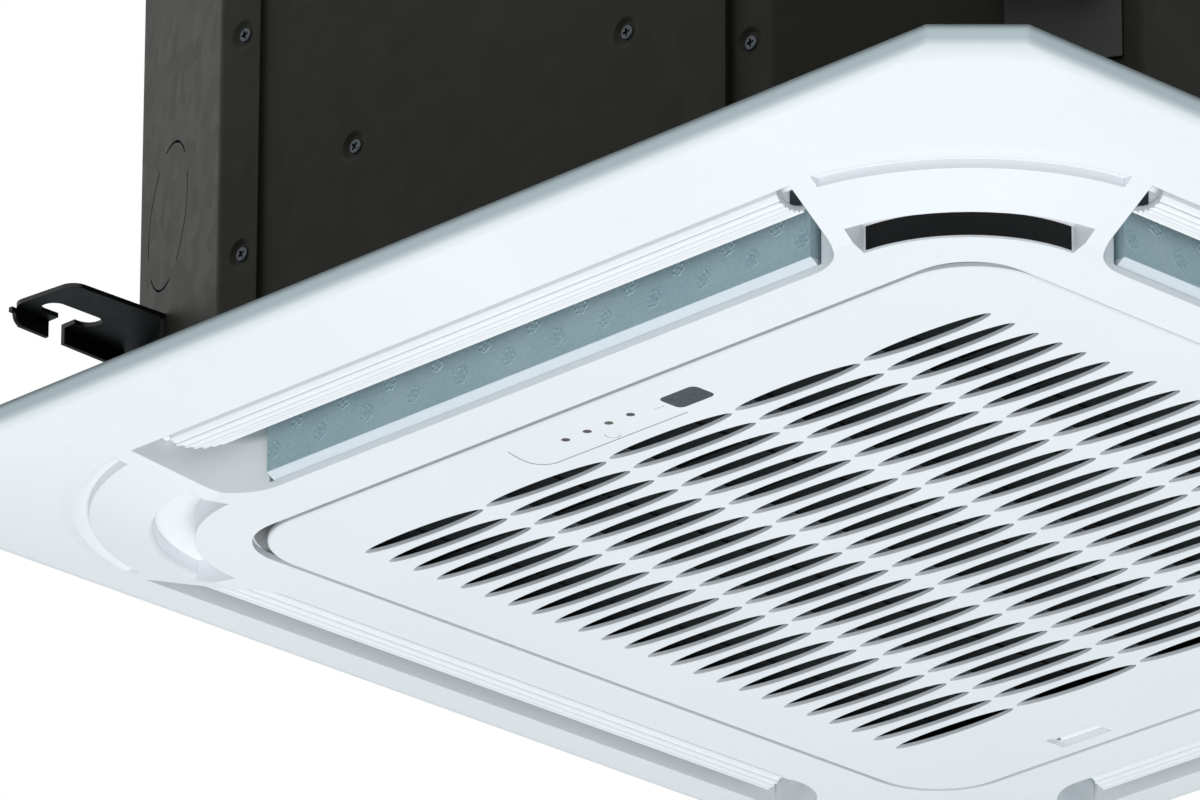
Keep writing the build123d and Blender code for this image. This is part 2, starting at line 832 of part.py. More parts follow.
# ---------------------------------------------------------------- casing
with BuildPart() as casing_shell:
    with BuildSketch(Plane.XY.offset(casing_bottom)):
        add(casing_face(0))
        add(casing_face(sheet), mode=Mode.SUBTRACT)
    extrude(amount=casing_height - sheet)
    with BuildSketch(Plane.XY.offset(casing_bottom)):
        add(casing_face(0))
        add(casing_face(foot_width), mode=Mode.SUBTRACT)
        # Tabs over the panel's fixing posts
        with PolarLocations((tab_start + casing_reach) / 2, 4, start_angle=45):
            Rectangle(casing_reach - tab_start, tab_wide)
        with PolarLocations(post_place * 2 ** 0.5, 4, start_angle=45):
            Circle(screw_radius + running_gap, mode=Mode.SUBTRACT)
        add(casing_face(0), mode=Mode.INTERSECT)
    extrude(amount=sheet)


def dimples(places, face_y, sign):
    """Pressed dimples, each with a screw hole, in a wall that faces along Y."""
    wall = Plane(origin=(0, face_y, 0), x_dir=(-sign, 0, 0), z_dir=(0, sign, 0))
    with BuildPart() as formed:
        for x, z in places:
            with Locations(wall * Location((-sign * x, z, -dimple_depth / 2 - sheet))):
                Cone(dimple_radius - 2, dimple_radius, dimple_depth)
    with BuildPart() as hollow:
        for x, z in places:
            with Locations(wall * Location((-sign * x, z, -dimple_depth / 2))):
                Cone(dimple_radius - 2, dimple_radius, dimple_depth)
            with Locations(wall * Location((-sign * x, z, -dimple_depth))):
                Cylinder(wall_screw + running_gap, 4 * dimple_depth)
    return formed.part, hollow.part


chamfer_run = hypot(chamfer_x, chamfer_y)
chamfer_mid = Vector(casing_half_x - chamfer_x / 2, casing_half_y - chamfer_y / 2, 0)
pipe_face = Plane(
    origin=chamfer_mid, x_dir=(-chamfer_x, chamfer_y, 0), z_dir=(chamfer_y, chamfer_x, 0),
)
knockout_face = Plane(
    origin=(-chamfer_mid.X, -chamfer_mid.Y, 0), x_dir=(chamfer_x, -chamfer_y, 0),
    z_dir=(-chamfer_y, -chamfer_x, 0),
)

for side, sign in (("left", -1), ("right", 1)):
    flange_screws = [(sign * flange_screw_x, flange_screw_low), (sign * flange_screw_x, flange_screw_high)]
    with BuildPart() as casing_end:
        add(casing_shell.part)
        with BuildSketch(Plane.XY.offset(casing_bottom)):
            with Locations((sign * (casing_half_x + flange_end) / 2, 0)):
                Rectangle(casing_half_x - flange_end, 3 * casing_half_y)
        extrude(amount=casing_height, mode=Mode.INTERSECT)
        for face_y, out in ((-casing_half_y, -1), (casing_half_y, 1)):
            formed, hollow = dimples(flange_screws, face_y, out)
            add(formed)
            add(hollow, mode=Mode.SUBTRACT)
        if sign > 0:
            # Window for the pipes
            with BuildSketch(pipe_face):
                with Locations((0, pipe_height)):
                    RectangleRounded(window_run, window_rise, 6)
            extrude(amount=-5 * sheet, both=True, mode=Mode.SUBTRACT)
        else:
            # Knockout, cut through except for its ties
            with BuildSketch(knockout_face):
                with Locations((-(chamfer_run / 2 - knockout_along), knockout_height)):
                    Ellipse(knockout_wide / 2, knockout_high / 2)
                    Ellipse(knockout_wide / 2 - 1, knockout_high / 2 - 1, mode=Mode.SUBTRACT)
                    with Locations(Location((0, 0), 20)):
                        Rectangle(knockout_wide + 4, 12, mode=Mode.SUBTRACT)
                        Rectangle(12, knockout_high + 4, mode=Mode.SUBTRACT)
            extrude(amount=-3 * sheet, both=True, mode=Mode.SUBTRACT)
    save(f"casing_end_{side}", casing_end)

for side, sign in (("front", -1), ("back", 1)):
    wall_screws = [(-sign * wall_screw_x, wall_screw_z), (sign * wall_screw_x, wall_screw_z)]
    wall_y = sign * casing_half_y
    with BuildPart() as casing_side:
        with BuildSketch(Plane.XY.offset(casing_bottom)):
            with Locations((0, wall_y + sign * sheet / 2)):
                Rectangle(2 * flange_seam, sheet)
            with Locations((-flange_seam + hem / 2, wall_y + sign * 1.5 * sheet)):
                Rectangle(hem, 3 * sheet)
            with Locations((flange_seam - hem / 2, wall_y + sign * 1.5 * sheet)):
                Rectangle(hem, 3 * sheet)
        extrude(amount=casing_height - sheet)
        with BuildSketch(Plane.XY.offset(casing_bottom)):
            with Locations((0, wall_y - sign * (foot_width - sheet) / 2)):
                Rectangle(2 * flange_end - 1, foot_width + sheet)
        extrude(amount=sheet)
        formed, hollow = dimples(wall_screws, wall_y + sign * sheet, sign)
        add(formed)
        add(hollow, mode=Mode.SUBTRACT)
    save(f"casing_side_{side}", casing_side)

with BuildPart() as casing_top:
    with BuildSketch(Plane.XY.offset(casing_top_z - sheet)):
        add(casing_face(0))
    extrude(amount=sheet)
    with BuildSketch(Plane.XY.offset(casing_top_z)):
        Circle(top_dish)
        Circle(top_dish - 6, mode=Mode.SUBTRACT)
        with PolarLocations(top_dish + 60, 8, start_angle=22.5):
            Rectangle(70, 8)
    extrude(amount=1)
    with BuildSketch(Plane.XY.offset(casing_top_z - sheet)):
        with PolarLocations(motor_foot, 3, start_angle=90):
            Circle(screw_radius + running_gap)
    extrude(amount=2 * sheet, mode=Mode.SUBTRACT)

save("casing_top", casing_top)

with BuildPart() as casing_screws:
    for sign in (-1, 1):
        out = Plane(origin=(0, sign * casing_half_y, 0), x_dir=(-sign, 0, 0), z_dir=(0, sign, 0))
        flange_places = [
            (x * flange_screw_x, z, -dimple_depth)
            for x in (-1, 1) for z in (flange_screw_low, flange_screw_high)
        ]
        wall_places = [(x * wall_screw_x, wall_screw_z, sheet - dimple_depth) for x in (-1, 1)]
        for x, z, floor in flange_places + wall_places:
            with Locations(out * Location((x, z, floor + screw_head / 2))):
                Cylinder(1.9 * wall_screw, screw_head)
            with Locations(out * Location((x, z, floor - sheet / 2))):
                Cylinder(wall_screw, sheet)

save("casing_screws", casing_screws)

# ---------------------------------------------------------------- hanger brackets
leg_start = Vector(-casing_half_x + chamfer_x, -casing_half_y, 0)
leg_step = Vector(-chamfer_x, chamfer_y, 0) * (1 / chamfer_run)
leg_out = Vector(-chamfer_y, -chamfer_x, 0) * (1 / chamfer_run)
leg_near = leg_start + leg_step * leg_low
leg_far = leg_start + leg_step * leg_high
bracket_z = panel_height + bracket_height
hanger_x = casing_half_x - hanger_inset_x
hanger_y = casing_half_y - hanger_inset_y
hook_corner = (-casing_half_x + hook_open, -casing_half_y - hook_front - hook_tilt)
hook_line = [
    (-casing_half_x + hook_side, -casing_half_y - hook_front), hook_corner,
    (hook_corner[0] - hook_lean, -casing_half_y + hook_back),
]

with BuildPart() as hanger:
    with BuildSketch(Plane.XY.offset(bracket_z)) as hook_face:
        Polygon((leg_near.X, leg_near.Y), *hook_line, (leg_far.X, leg_far.Y), align=None)
        fillet(hook_face.vertices().sort_by(Axis.Y)[:2], radius=hook_round)
    extrude(amount=bracket_sheet)
    # Lip along the open edge
    with BuildSketch(Plane.XY.offset(bracket_z - hook_lip)):
        Polygon(
            hook_line[1], hook_line[2], (hook_line[2][0] + bracket_sheet, hook_line[2][1]),
            (hook_line[1][0] + bracket_sheet, hook_line[1][1]), align=None,
        )
    extrude(amount=hook_lip)
    # The lip's outer end is rounded below and follows the plate's corner above
    with BuildSketch(Plane.YZ.offset(hook_line[2][0] - bracket_sheet)):
        with Locations((hook_corner[1] + lip_round / 2, bracket_z - hook_lip + lip_round / 2)):
            Rectangle(lip_round, lip_round)
        with Locations((hook_corner[1] + hook_wrap + lip_round, bracket_z - hook_lip + lip_round)):
            Circle(lip_round, mode=Mode.SUBTRACT)
    extrude(amount=4 * bracket_sheet, mode=Mode.SUBTRACT)
    # Slot for the threaded rod, open to the side
    with BuildSketch(Plane.XY.offset(bracket_z - hook_lip)):
        with Locations(Location((-hanger_x, -hanger_y), 90)):
            SlotCenterToCenter(hanger_run, hanger_slot)
        with Locations((-hanger_x - hanger_inset_x / 2, -hanger_y + mouth_shift)):
            Rectangle(hanger_inset_x, hanger_mouth)
    extrude(amount=hook_lip + bracket_sheet, mode=Mode.SUBTRACT)
    # Leg down the casing's cut corner
    with BuildSketch(Plane.XY.offset(bracket_z - leg_drop)):
        Polygon(
            (leg_near.X, leg_near.Y), (leg_far.X, leg_far.Y),
            (leg_far.X + leg_out.X * bracket_sheet, leg_far.Y + leg_out.Y * bracket_sheet),
            (leg_near.X + leg_out.X * bracket_sheet, leg_near.Y + leg_out.Y * bracket_sheet),
            align=None,
        )
    extrude(amount=leg_drop + bracket_sheet)

for side, planes in (
    ("left_front", []), ("right_front", [Plane.YZ]), ("left_back", [Plane.XZ]),
    ("right_back", [Plane.YZ, Plane.XZ]),
):
    with BuildPart() as hanger_bracket:
        add(hanger.part)
    for plane in planes:
        hanger_bracket.part = hanger_bracket.part.mirror(plane)
    save(f"hanger_bracket_{side}", hanger_bracket)

# ---------------------------------------------------------------- drain pan and liner
with BuildPart() as drain_pan:
    with BuildSketch(Plane.XY.offset(pan_bottom)):
        add(casing_face(sheet + pan_clearance))
    extrude(amount=pan_height)
    with BuildSketch(Plane.XY.offset(pan_bottom)):
        Circle(pan_eye)
        with PolarLocations(0, 4):
            add(duct_face())
    extrude(amount=pan_height, mode=Mode.SUBTRACT)
    with BuildSketch(Plane.XY.offset(coil_bottom)):
        RectangleRounded(2 * trough_outer, 2 * trough_outer, coil_corner)
        RectangleRounded(
            2 * trough_inner, 2 * trough_inner, coil_corner - trough_outer + trough_inner, mode=Mode.SUBTRACT,
        )
    extrude(amount=pan_height, mode=Mode.SUBTRACT)
    # The trough widens at the pump's corner, with a sump below the pump
    with BuildSketch(Plane.XY.offset(coil_bottom)):
        Polygon(
            (coil_end - corner_gap, trough_inner + corner_gap),
            (trough_inner + corner_gap, coil_end - corner_gap),
            (coil_half, coil_end - corner_gap), (coil_half, coil_end), (coil_end, coil_half),
            (coil_end - corner_gap, coil_half), align=None,
        )
    extrude(amount=pan_height, mode=Mode.SUBTRACT)
    with BuildSketch(Plane.XY.offset(coil_bottom - sump_drop)):
        with Locations((pump_place, pump_place)):
            Circle(sump_radius)
    extrude(amount=pan_height, mode=Mode.SUBTRACT)
    with BuildSketch(Plane.XY.offset(pan_bottom)):
        with Locations((plug_place, plug_place)):
            Circle(plug_radius)
    extrude(amount=pan_height, mode=Mode.SUBTRACT)
    # Recess for the control box
    with BuildSketch(Plane.XY.offset(pan_bottom)):
        with Locations((0, (box_near + box_far) / 2)):
            Rectangle(box_wide + 2, box_far - box_near + 2)
    extrude(amount=box_top + 0.5 - pan_bottom, mode=Mode.SUBTRACT)

save("drain_pan", drain_pan)

with BuildPart() as drain_plug:
    with BuildSketch(Plane.XY.offset(pan_bottom - 2)):
        with Locations((plug_place, plug_place)):
            Circle(plug_radius + 2)
    extrude(amount=2)
    with BuildSketch(Plane.XY.offset(pan_bottom)):
        with Locations((plug_place, plug_place)):
            Circle(plug_radius - 0.1)
    extrude(amount=coil_bottom - sump_drop - pan_bottom)

save("drain_plug", drain_plug)

with BuildPart() as liner:
    with BuildSketch(Plane.XY.offset(pan_top)):
        add(casing_face(sheet + pan_clearance))
        add(casing_face(sheet + pan_clearance + liner_wall), mode=Mode.SUBTRACT)
    extrude(amount=liner_top - pan_top)
    with BuildSketch(Plane.XY.offset(coil_top)):
        add(casing_face(sheet + pan_clearance))
        Circle(liner_eye, mode=Mode.SUBTRACT)
    extrude(amount=liner_disc)
    with BuildSketch(pipe_face):
        with Locations((0, pipe_height)):
            RectangleRounded(window_run, window_rise, 6)
    extrude(amount=-4 * liner_wall, both=True, mode=Mode.SUBTRACT)

save("foam_liner", liner)

# ---------------------------------------------------------------- bell mouth
with BuildPart() as bell_mouth:
    with BuildSketch(Plane.XZ):
        with BuildLine():
            Polyline(
                (throat_radius, bell_top), (throat_radius - bell_wall, bell_top),
                (throat_radius - bell_wall, bell_top - bell_straight),
            )
            EllipticalCenterArc(
                (bell_radius, bell_top - bell_straight), bell_radius - throat_radius + bell_wall,
                bell_top - bell_straight - pan_bottom + bell_wall, start_angle=180, arc_size=90,
            )
            Polyline(
                (bell_radius, pan_bottom - bell_wall), (bell_flange, pan_bottom - bell_wall),
                (bell_flange, pan_bottom), (bell_radius, pan_bottom),
            )
            EllipticalCenterArc(
                (bell_radius, bell_top - bell_straight), bell_radius - throat_radius,
                bell_top - bell_straight - pan_bottom, start_angle=180, arc_size=90,
            )
            Line((throat_radius, bell_top - bell_straight), (throat_radius, bell_top))
        make_face()
    revolve(axis=Axis.Z)

save("bell_mouth", bell_mouth)

# ---------------------------------------------------------------- turbo fan
with BuildPart() as blade_room:
    with BuildSketch(Plane.XZ):
        Polygon(
            (blade_inner - 6, shroud_top - 4), (shroud_inlet + 1, shroud_bottom + 8),
            (fan_radius, shroud_top - 1),
            (fan_radius, hub_plate), (blade_inner - 6, hub_plate), align=None,
        )
    revolve(axis=Axis.Z)

with BuildPart() as fan_wheel:
    # Backward-curved blades
    with BuildSketch(Plane.XY.offset(shroud_bottom)) as blade_plan:
        with BuildLine():
            inner_end = Vector(blade_inner, 0)
            outer_end = Vector(fan_radius, 0).rotate(Axis.Z, -blade_sweep)
            camber = Vector((blade_inner + fan_radius) / 2 + blade_bow, 0)
            camber = camber.rotate(Axis.Z, -blade_lead * blade_sweep)
            ThreePointArc(inner_end, camber, outer_end)
            offset(amount=blade_thick / 2, kind=Kind.ARC)
        make_face()
    extrude(amount=hub_plate - shroud_bottom)
    blade_step = 360 / blade_count
    with PolarLocations(0, blade_count - 1, start_angle=blade_step, angular_range=360 - blade_step):
        add(fan_wheel.part)
    add(blade_room.part, mode=Mode.INTERSECT)
    # Shroud with its inlet ring
    with BuildSketch(Plane.XZ):
        Polygon(
            (shroud_inlet, shroud_bottom), (shroud_inlet + fan_wall, shroud_bottom),
            (shroud_inlet + fan_wall, shroud_bottom + 6), (fan_radius, shroud_top - fan_wall),
            (fan_radius, shroud_top),
            (shroud_inlet, shroud_bottom + 9), align=None,
        )
    revolve(axis=Axis.Z)
    # Back plate, cone and hub
    with BuildSketch(Plane.XZ):
        Polygon(
            (fan_radius, hub_plate), (fan_radius, hub_plate + fan_wall), (cone_radius, hub_plate + fan_wall),
            (cone_foot, cone_bottom + fan_wall), (2.5 * shaft_radius, cone_bottom + fan_wall),
            (2.5 * shaft_radius, cone_bottom + hub_long),
            (shaft_radius + running_gap, cone_bottom + hub_long),
            (shaft_radius + running_gap, cone_bottom), (cone_foot + 1, cone_bottom),
            (cone_radius + 1, hub_plate),
            align=None,
        )
    revolve(axis=Axis.Z)

save("fan_wheel", fan_wheel)

with BuildPart() as fan_nut:
    with BuildSketch(Plane.XY.offset(cone_bottom - nut_high)):
        RegularPolygon(7.5, 6)
        Circle(shaft_radius + running_gap, mode=Mode.SUBTRACT)
    extrude(amount=nut_high)

save("fan_nut", fan_nut)

with BuildPart() as fan_motor:
    with BuildSketch(Plane.XZ):
        Polygon(
            (0, cone_bottom - nut_high - 4), (shaft_radius, cone_bottom - nut_high - 4),
            (shaft_radius, motor_low - 6), (0.4 * motor_radius, motor_low - 6),
            (0.4 * motor_radius, motor_low), (motor_radius - 6, motor_low),
            (motor_radius, motor_low + 6), (motor_radius, motor_high), (0, motor_high), align=None,
        )
    revolve(axis=Axis.Z)
    with BuildSketch(Plane.XY.offset(motor_high)):
        Circle(motor_radius)
        with PolarLocations(motor_foot, 3, start_angle=90):
            Circle(10)
        with PolarLocations(motor_foot, 3, start_angle=90):
            Circle(screw_radius + running_gap, mode=Mode.SUBTRACT)
    extrude(amount=3)
    with BuildSketch(Plane.XY.offset(motor_low + 12)):
        with PolarLocations(motor_radius, 24):
            Rectangle(3, 3)
    extrude(amount=motor_high - motor_low - 18)

save("fan_motor", fan_motor)

with BuildPart() as motor_bushes:
    with BuildSketch(Plane.XY.offset(motor_high + 3)):
        with PolarLocations(motor_foot, 3, start_angle=90):
            Circle(8)
        with PolarLocations(motor_foot, 3, start_angle=90):
            Circle(screw_radius + running_gap, mode=Mode.SUBTRACT)
    extrude(amount=liner_top - motor_high - 3)

save("motor_bushes", motor_bushes)

with BuildPart() as motor_screws:
    with BuildSketch(Plane.XY.offset(motor_high - 3)):
        with PolarLocations(motor_foot, 3, start_angle=90):
            RegularPolygon(4, 6)
    extrude(amount=3)
    with BuildSketch(Plane.XY.offset(motor_high)):
        with PolarLocations(motor_foot, 3, start_angle=90):
            Circle(screw_radius)
    extrude(amount=casing_top_z + 3 - motor_high)

save("motor_screws", motor_screws)

# ---------------------------------------------------------------- heat exchanger
coil_inner = coil_half - coil_depth

with BuildPart() as coil_fins:
    with BuildSketch(Plane.XY.offset(coil_bottom)):
        RectangleRounded(2 * coil_half, 2 * coil_half, coil_corner)
        RectangleRounded(2 * coil_inner, 2 * coil_inner, coil_corner - coil_depth, mode=Mode.SUBTRACT)
        with Locations((coil_end + coil_half, coil_end + coil_half)):
            Rectangle(2 * coil_half, 2 * coil_half, mode=Mode.SUBTRACT)
    extrude(amount=coil_top - coil_bottom)

save("coil_fins", coil_fins)

tube_heights = [coil_bottom + 18 + 2 * k * tube_pitch for k in range(tube_pairs)]
row_places = (coil_half - coil_depth / 4, coil_half - 3 * coil_depth / 4)

with BuildPart() as coil_plate:
    with BuildSketch(Plane.XY.offset(coil_bottom)):
        Polygon(
            (coil_end, coil_half), (coil_end, coil_inner), (coil_inner, coil_end), (coil_half, coil_end),
            (coil_half, coil_end + sheet), (coil_inner + sheet / 2, coil_end + sheet),
            (coil_end + sheet, coil_inner + sheet / 2), (coil_end + sheet, coil_half), align=None,
        )
    extrude(amount=coil_top - coil_bottom)
    with BuildSketch(Plane.YZ.offset(coil_end - sheet)):
        with Locations(*[(row, z) for row in row_places for z in tube_heights]):
            Circle(tube_radius + running_gap)
        with Locations(*[(row, z + tube_pitch) for row in row_places for z in tube_heights]):
            Circle(tube_radius + running_gap)
    extrude(amount=3 * sheet, mode=Mode.SUBTRACT)
    with BuildSketch(Plane.XZ.offset(-coil_end - 2 * sheet)):
        with Locations(*[(row, z) for row in row_places for z in tube_heights]):
            Circle(tube_radius + running_gap)
        with Locations(*[(row, z + tube_pitch) for row in row_places for z in tube_heights]):
            Circle(tube_radius + running_gap)
    extrude(amount=3 * sheet, mode=Mode.SUBTRACT)

save("coil_plate", coil_plate)

with BuildPart() as bend_tool:
    with BuildLine() as bend_line:
        Line((coil_end, 0, 0), (coil_end + 6, 0, 0))
        ThreePointArc(
            (coil_end + 6, 0, 0), (coil_end + 6 + tube_pitch / 2, 0, tube_pitch / 2),
            (coil_end + 6, 0, tube_pitch),
        )
        Line((coil_end + 6, 0, tube_pitch), (coil_end, 0, tube_pitch))
    with BuildSketch(Plane.YZ.offset(coil_end)):
        Circle(tube_radius)
    sweep(path=bend_line.line)

with BuildPart() as coil_bends:
    for row in row_places:
        for z in tube_heights:
            with Locations((0, row, z)):
                add(bend_tool.part)
            with Locations(Location((row, 0, z), (0, 0, 90))):
                add(bend_tool.part)

save("coil_bends", coil_bends)

# ---------------------------------------------------------------- drain pump
with BuildPart() as drain_pump:
    with BuildSketch(Plane.XY.offset(pump_bottom)):
        with Locations((pump_place, pump_place)):
            Circle(pump_radius)
    extrude(amount=pump_tall)
    with BuildSketch(Plane.XY.offset(coil_bottom - sump_drop + 4)):
        with Locations((pump_place, pump_place)):
            Circle(pump_radius / 2)
    extrude(amount=pump_bottom + sump_drop - coil_bottom - 4)
    # Hanging bracket that reaches the corner plate of the heat exchanger
    with BuildSketch(Plane.XY.offset(pump_bottom + 10)):
        with Locations(Location((pump_place, pump_place), 225)):
            with Locations((pump_reach / 2, 0)):
                Rectangle(pump_reach, pump_radius)
    extrude(amount=3)
    with BuildSketch(Plane.XY.offset(pump_bottom + pump_tall)):
        with Locations((pump_place, pump_place)):
            Circle(pump_radius * 0.7)
            Circle(drain_inner + running_gap, mode=Mode.SUBTRACT)
    extrude(amount=12)

save("drain_pump", drain_pump)

with BuildPart() as pump_float:
    with BuildSketch(Plane.XY.offset(float_low)):
        with Locations((float_x, float_y)):
            Circle(float_radius)
            Circle(2 + running_gap, mode=Mode.SUBTRACT)
    extrude(amount=float_high)

save("pump_float", pump_float)

with BuildPart() as float_stem:
    with BuildSketch(Plane.XY.offset(coil_bottom - sump_drop)):
        with Locations((float_x, float_y)):
            Circle(2)
    extrude(amount=float_low + float_high + float_travel + 6 - coil_bottom + sump_drop)
    with BuildSketch(Plane.XY.offset(float_low + float_high + float_travel + 2)):
        with Locations((float_x, float_y)):
            Circle(6)
    extrude(amount=4)
    with BuildSketch(Plane.XY.offset(coil_bottom - sump_drop)):
        with Locations((float_x, float_y)):
            Circle(6)
    extrude(amount=float_low - coil_bottom + sump_drop - 0.5)

save("float_stem", float_stem)

# ---------------------------------------------------------------- pipes
def on_chamfer(run, out, z):
    """Point in front of the casing's pipe corner: along the face, out from it and up."""
    return pipe_face.origin + pipe_face.x_dir * run + pipe_face.z_dir * out + Vector(0, 0, z)


pump_run = (Vector(pump_place, pump_place, 0) - pipe_face.origin).dot(pipe_face.x_dir)
gas_foot = on_chamfer(gas_run, gas_in, 0)
liquid_foot = on_chamfer(liquid_run, liquid_in, 0)
pipe_lines = {
    "gas_pipe": ([(gas_foot.X, gas_foot.Y, header_low), (gas_foot.X, gas_foot.Y, gas_z),
                  tuple(on_chamfer(gas_run, pipe_out, gas_z))], gas_radius, gas_radius - 1, 3 * gas_radius),
    "liquid_pipe": ([(liquid_foot.X, liquid_foot.Y, header_low), (liquid_foot.X, liquid_foot.Y, liquid_z),
                     tuple(on_chamfer(liquid_run, pipe_out, liquid_z))],
                    liquid_radius, liquid_radius - 0.8, 4 * liquid_radius),
    "drain_socket": ([(pump_place, pump_place, pump_bottom + pump_tall), (pump_place, pump_place, drain_z),
                      tuple(on_chamfer(pump_run, pipe_out, drain_z))],
                     drain_inner, drain_inner - 2, 2 * drain_inner),
}
for name, (points, outer, inner, turn_radius) in pipe_lines.items():
    start = Vector(*points[0])
    with BuildPart() as pipe:
        with BuildLine() as run_line:
            FilletPolyline(*points, radius=turn_radius)
        with BuildSketch(Plane.XY.offset(start.Z)):
            with Locations((start.X, start.Y)):
                Circle(outer)
                Circle(inner, mode=Mode.SUBTRACT)
        sweep(path=run_line.line)
        if name == "drain_socket":
            # Socket for the drain hose
            with BuildSketch(Plane(origin=on_chamfer(pump_run, 6, drain_z), z_dir=pipe_face.z_dir)):
                Circle(drain_radius)
                Circle(inner, mode=Mode.SUBTRACT)
            extrude(amount=pipe_out - 6)
    save(name, pipe)

for name, run, z, radius, across, long in (
    ("gas_nut", gas_run, gas_z, gas_radius, 12, 18),
    ("liquid_nut", liquid_run, liquid_z, liquid_radius, 8.5, 15),
):
    with BuildPart() as flare_nut:
        with BuildSketch(Plane(origin=on_chamfer(run, pipe_out - long - 3, z), z_dir=pipe_face.z_dir)):
            RegularPolygon(across, 6)
            Circle(radius + running_gap, mode=Mode.SUBTRACT)
        extrude(amount=long)
    save(name, flare_nut)

with BuildPart() as pipe_plate:
    with BuildSketch(pipe_face):
        with Locations((0, pipe_height)):
            RectangleRounded(window_run + 12, window_rise + 12, 6)
        with Locations((gas_run, gas_z)):
            Circle(gas_radius + pipe_gap, mode=Mode.SUBTRACT)
        with Locations((liquid_run, liquid_z)):
            Circle(liquid_radius + pipe_gap, mode=Mode.SUBTRACT)
        with Locations((pump_run, drain_z)):
            Circle(drain_inner + pipe_gap, mode=Mode.SUBTRACT)
    extrude(amount=sheet)

save("pipe_plate", pipe_plate)

# ---------------------------------------------------------------- control box
with BuildPart() as control_box:
    with BuildSketch(Plane.XY.offset(box_bottom)):
        with Locations((0, (box_near + box_far) / 2)):
            Rectangle(box_wide, box_far - box_near)
    extrude(amount=box_top - box_bottom)
    with BuildSketch(Plane.XY.offset(box_bottom)):
        with Locations((0, (box_near + box_far) / 2)):
            Rectangle(box_wide - 3, box_far - box_near - 3)
    extrude(amount=box_top - box_bottom - 1.5, mode=Mode.SUBTRACT)

save("control_box", control_box)

with BuildPart() as control_lid:
    with BuildSketch(Plane.XY.offset(box_bottom - lid_sheet)):
        with Locations((0, (box_near + box_far) / 2)):
            RectangleRounded(box_wide, box_far - box_near, 2)
    extrude(amount=lid_sheet)
    with BuildSketch(Plane.XY.offset(box_bottom - lid_sheet)):
        with GridLocations(12, 1, 9, 1):
            with Locations((0, (box_near + box_far) / 2)):
                SlotOverall(18, 3, rotation=90)
    extrude(amount=lid_sheet, mode=Mode.SUBTRACT)

save("control_lid", control_lid)

with BuildPart() as terminal_block:
    with BuildSketch(Plane.XY.offset(box_top - 1.5 - terminal_tall)):
        with Locations((terminal_x, (box_near + box_far) / 2)):
            Rectangle(terminal_long, 14)
    extrude(amount=terminal_tall)
    with BuildSketch(Plane.XY.offset(box_top - 1.5 - terminal_tall)):
        with Locations((terminal_x, (box_near + box_far) / 2)):
            with GridLocations(9, 1, 5, 1):
                Rectangle(7, 9)
    extrude(amount=5, mode=Mode.SUBTRACT)

save("terminal_block", terminal_block)

with BuildPart() as control_board:
    with BuildSketch(Plane.XY.offset(box_top - 6)):
        with Locations((board_shift, (box_near + box_far) / 2)):
            Rectangle(circuit_long, box_far - box_near - 6)
    extrude(amount=board_sheet)
    with BuildSketch(Plane.XY.offset(box_top - 6 + board_sheet)):
        with Locations((board_shift, (box_near + box_far) / 2)):
            with GridLocations(circuit_long - 8, box_far - box_near - 14, 2, 2):
                Circle(2)
    extrude(amount=4.5 - board_sheet)
    with BuildSketch(Plane.XY.offset(box_top - 6)):
        with Locations((board_shift - 20, (box_near + box_far) / 2)):
            Rectangle(18, 14)
        with Locations((board_shift + 14, (box_near + box_far) / 2)):
            Circle(5)
    extrude(amount=-9)

save("control_board", control_board)

# ---------------------------------------------------------------- fixing screws of the panel
with BuildPart() as panel_screws:
    for turn in (0, 90, 180, 270):
        place = Vector(post_place, -post_place).rotate(Axis.Z, turn)
        with BuildSketch(Plane.XY.offset(post_bottom - 2)):
            with Locations(place):
                RegularPolygon(2 * screw_radius, 6)
        extrude(amount=2)
        with BuildSketch(Plane.XY.offset(post_bottom)):
            with Locations(place):
                Circle(screw_radius)
        extrude(amount=pan_bottom - post_bottom)

save("panel_screws", panel_screws)
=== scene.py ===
# %% [markdown]
# # Ceiling cassette air conditioner
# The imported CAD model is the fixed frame. This file gives each of its pieces the finish of the real one,
# puts finer copies in the place of six of them, and adds the details that are too fine for the solids. Then
# it sets up the studio in which the photograph was taken: a camera far below the unit, looking up at one
# corner.

# %% Load the frame
import json
import math
import random

import bmesh
import bpy
from mathutils import Matrix, Vector


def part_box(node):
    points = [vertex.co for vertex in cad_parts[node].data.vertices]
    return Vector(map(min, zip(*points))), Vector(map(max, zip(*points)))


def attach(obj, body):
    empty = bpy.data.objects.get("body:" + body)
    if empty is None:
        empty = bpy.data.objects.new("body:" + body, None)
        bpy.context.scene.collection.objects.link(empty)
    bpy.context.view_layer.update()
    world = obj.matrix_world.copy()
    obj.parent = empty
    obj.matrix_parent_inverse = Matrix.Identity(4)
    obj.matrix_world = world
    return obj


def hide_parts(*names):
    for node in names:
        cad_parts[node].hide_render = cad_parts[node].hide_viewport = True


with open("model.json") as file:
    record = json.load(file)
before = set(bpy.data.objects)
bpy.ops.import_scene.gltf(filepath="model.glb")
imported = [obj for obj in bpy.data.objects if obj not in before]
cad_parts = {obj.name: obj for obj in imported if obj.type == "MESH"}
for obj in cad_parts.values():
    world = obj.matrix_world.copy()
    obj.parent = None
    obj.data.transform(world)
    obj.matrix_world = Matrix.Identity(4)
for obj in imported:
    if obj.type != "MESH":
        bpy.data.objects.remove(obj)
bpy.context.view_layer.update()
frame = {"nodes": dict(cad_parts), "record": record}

MM = 0.001
nodes = frame["nodes"]

# %% [markdown]
# ## Camera
# The lines of the panel converge very little, so the photograph was taken with a long lens from nearly five
# metres away. The camera stands lower than the unit and looks up by 23 degrees, at the corner between the
# lamp side and the right-hand side.

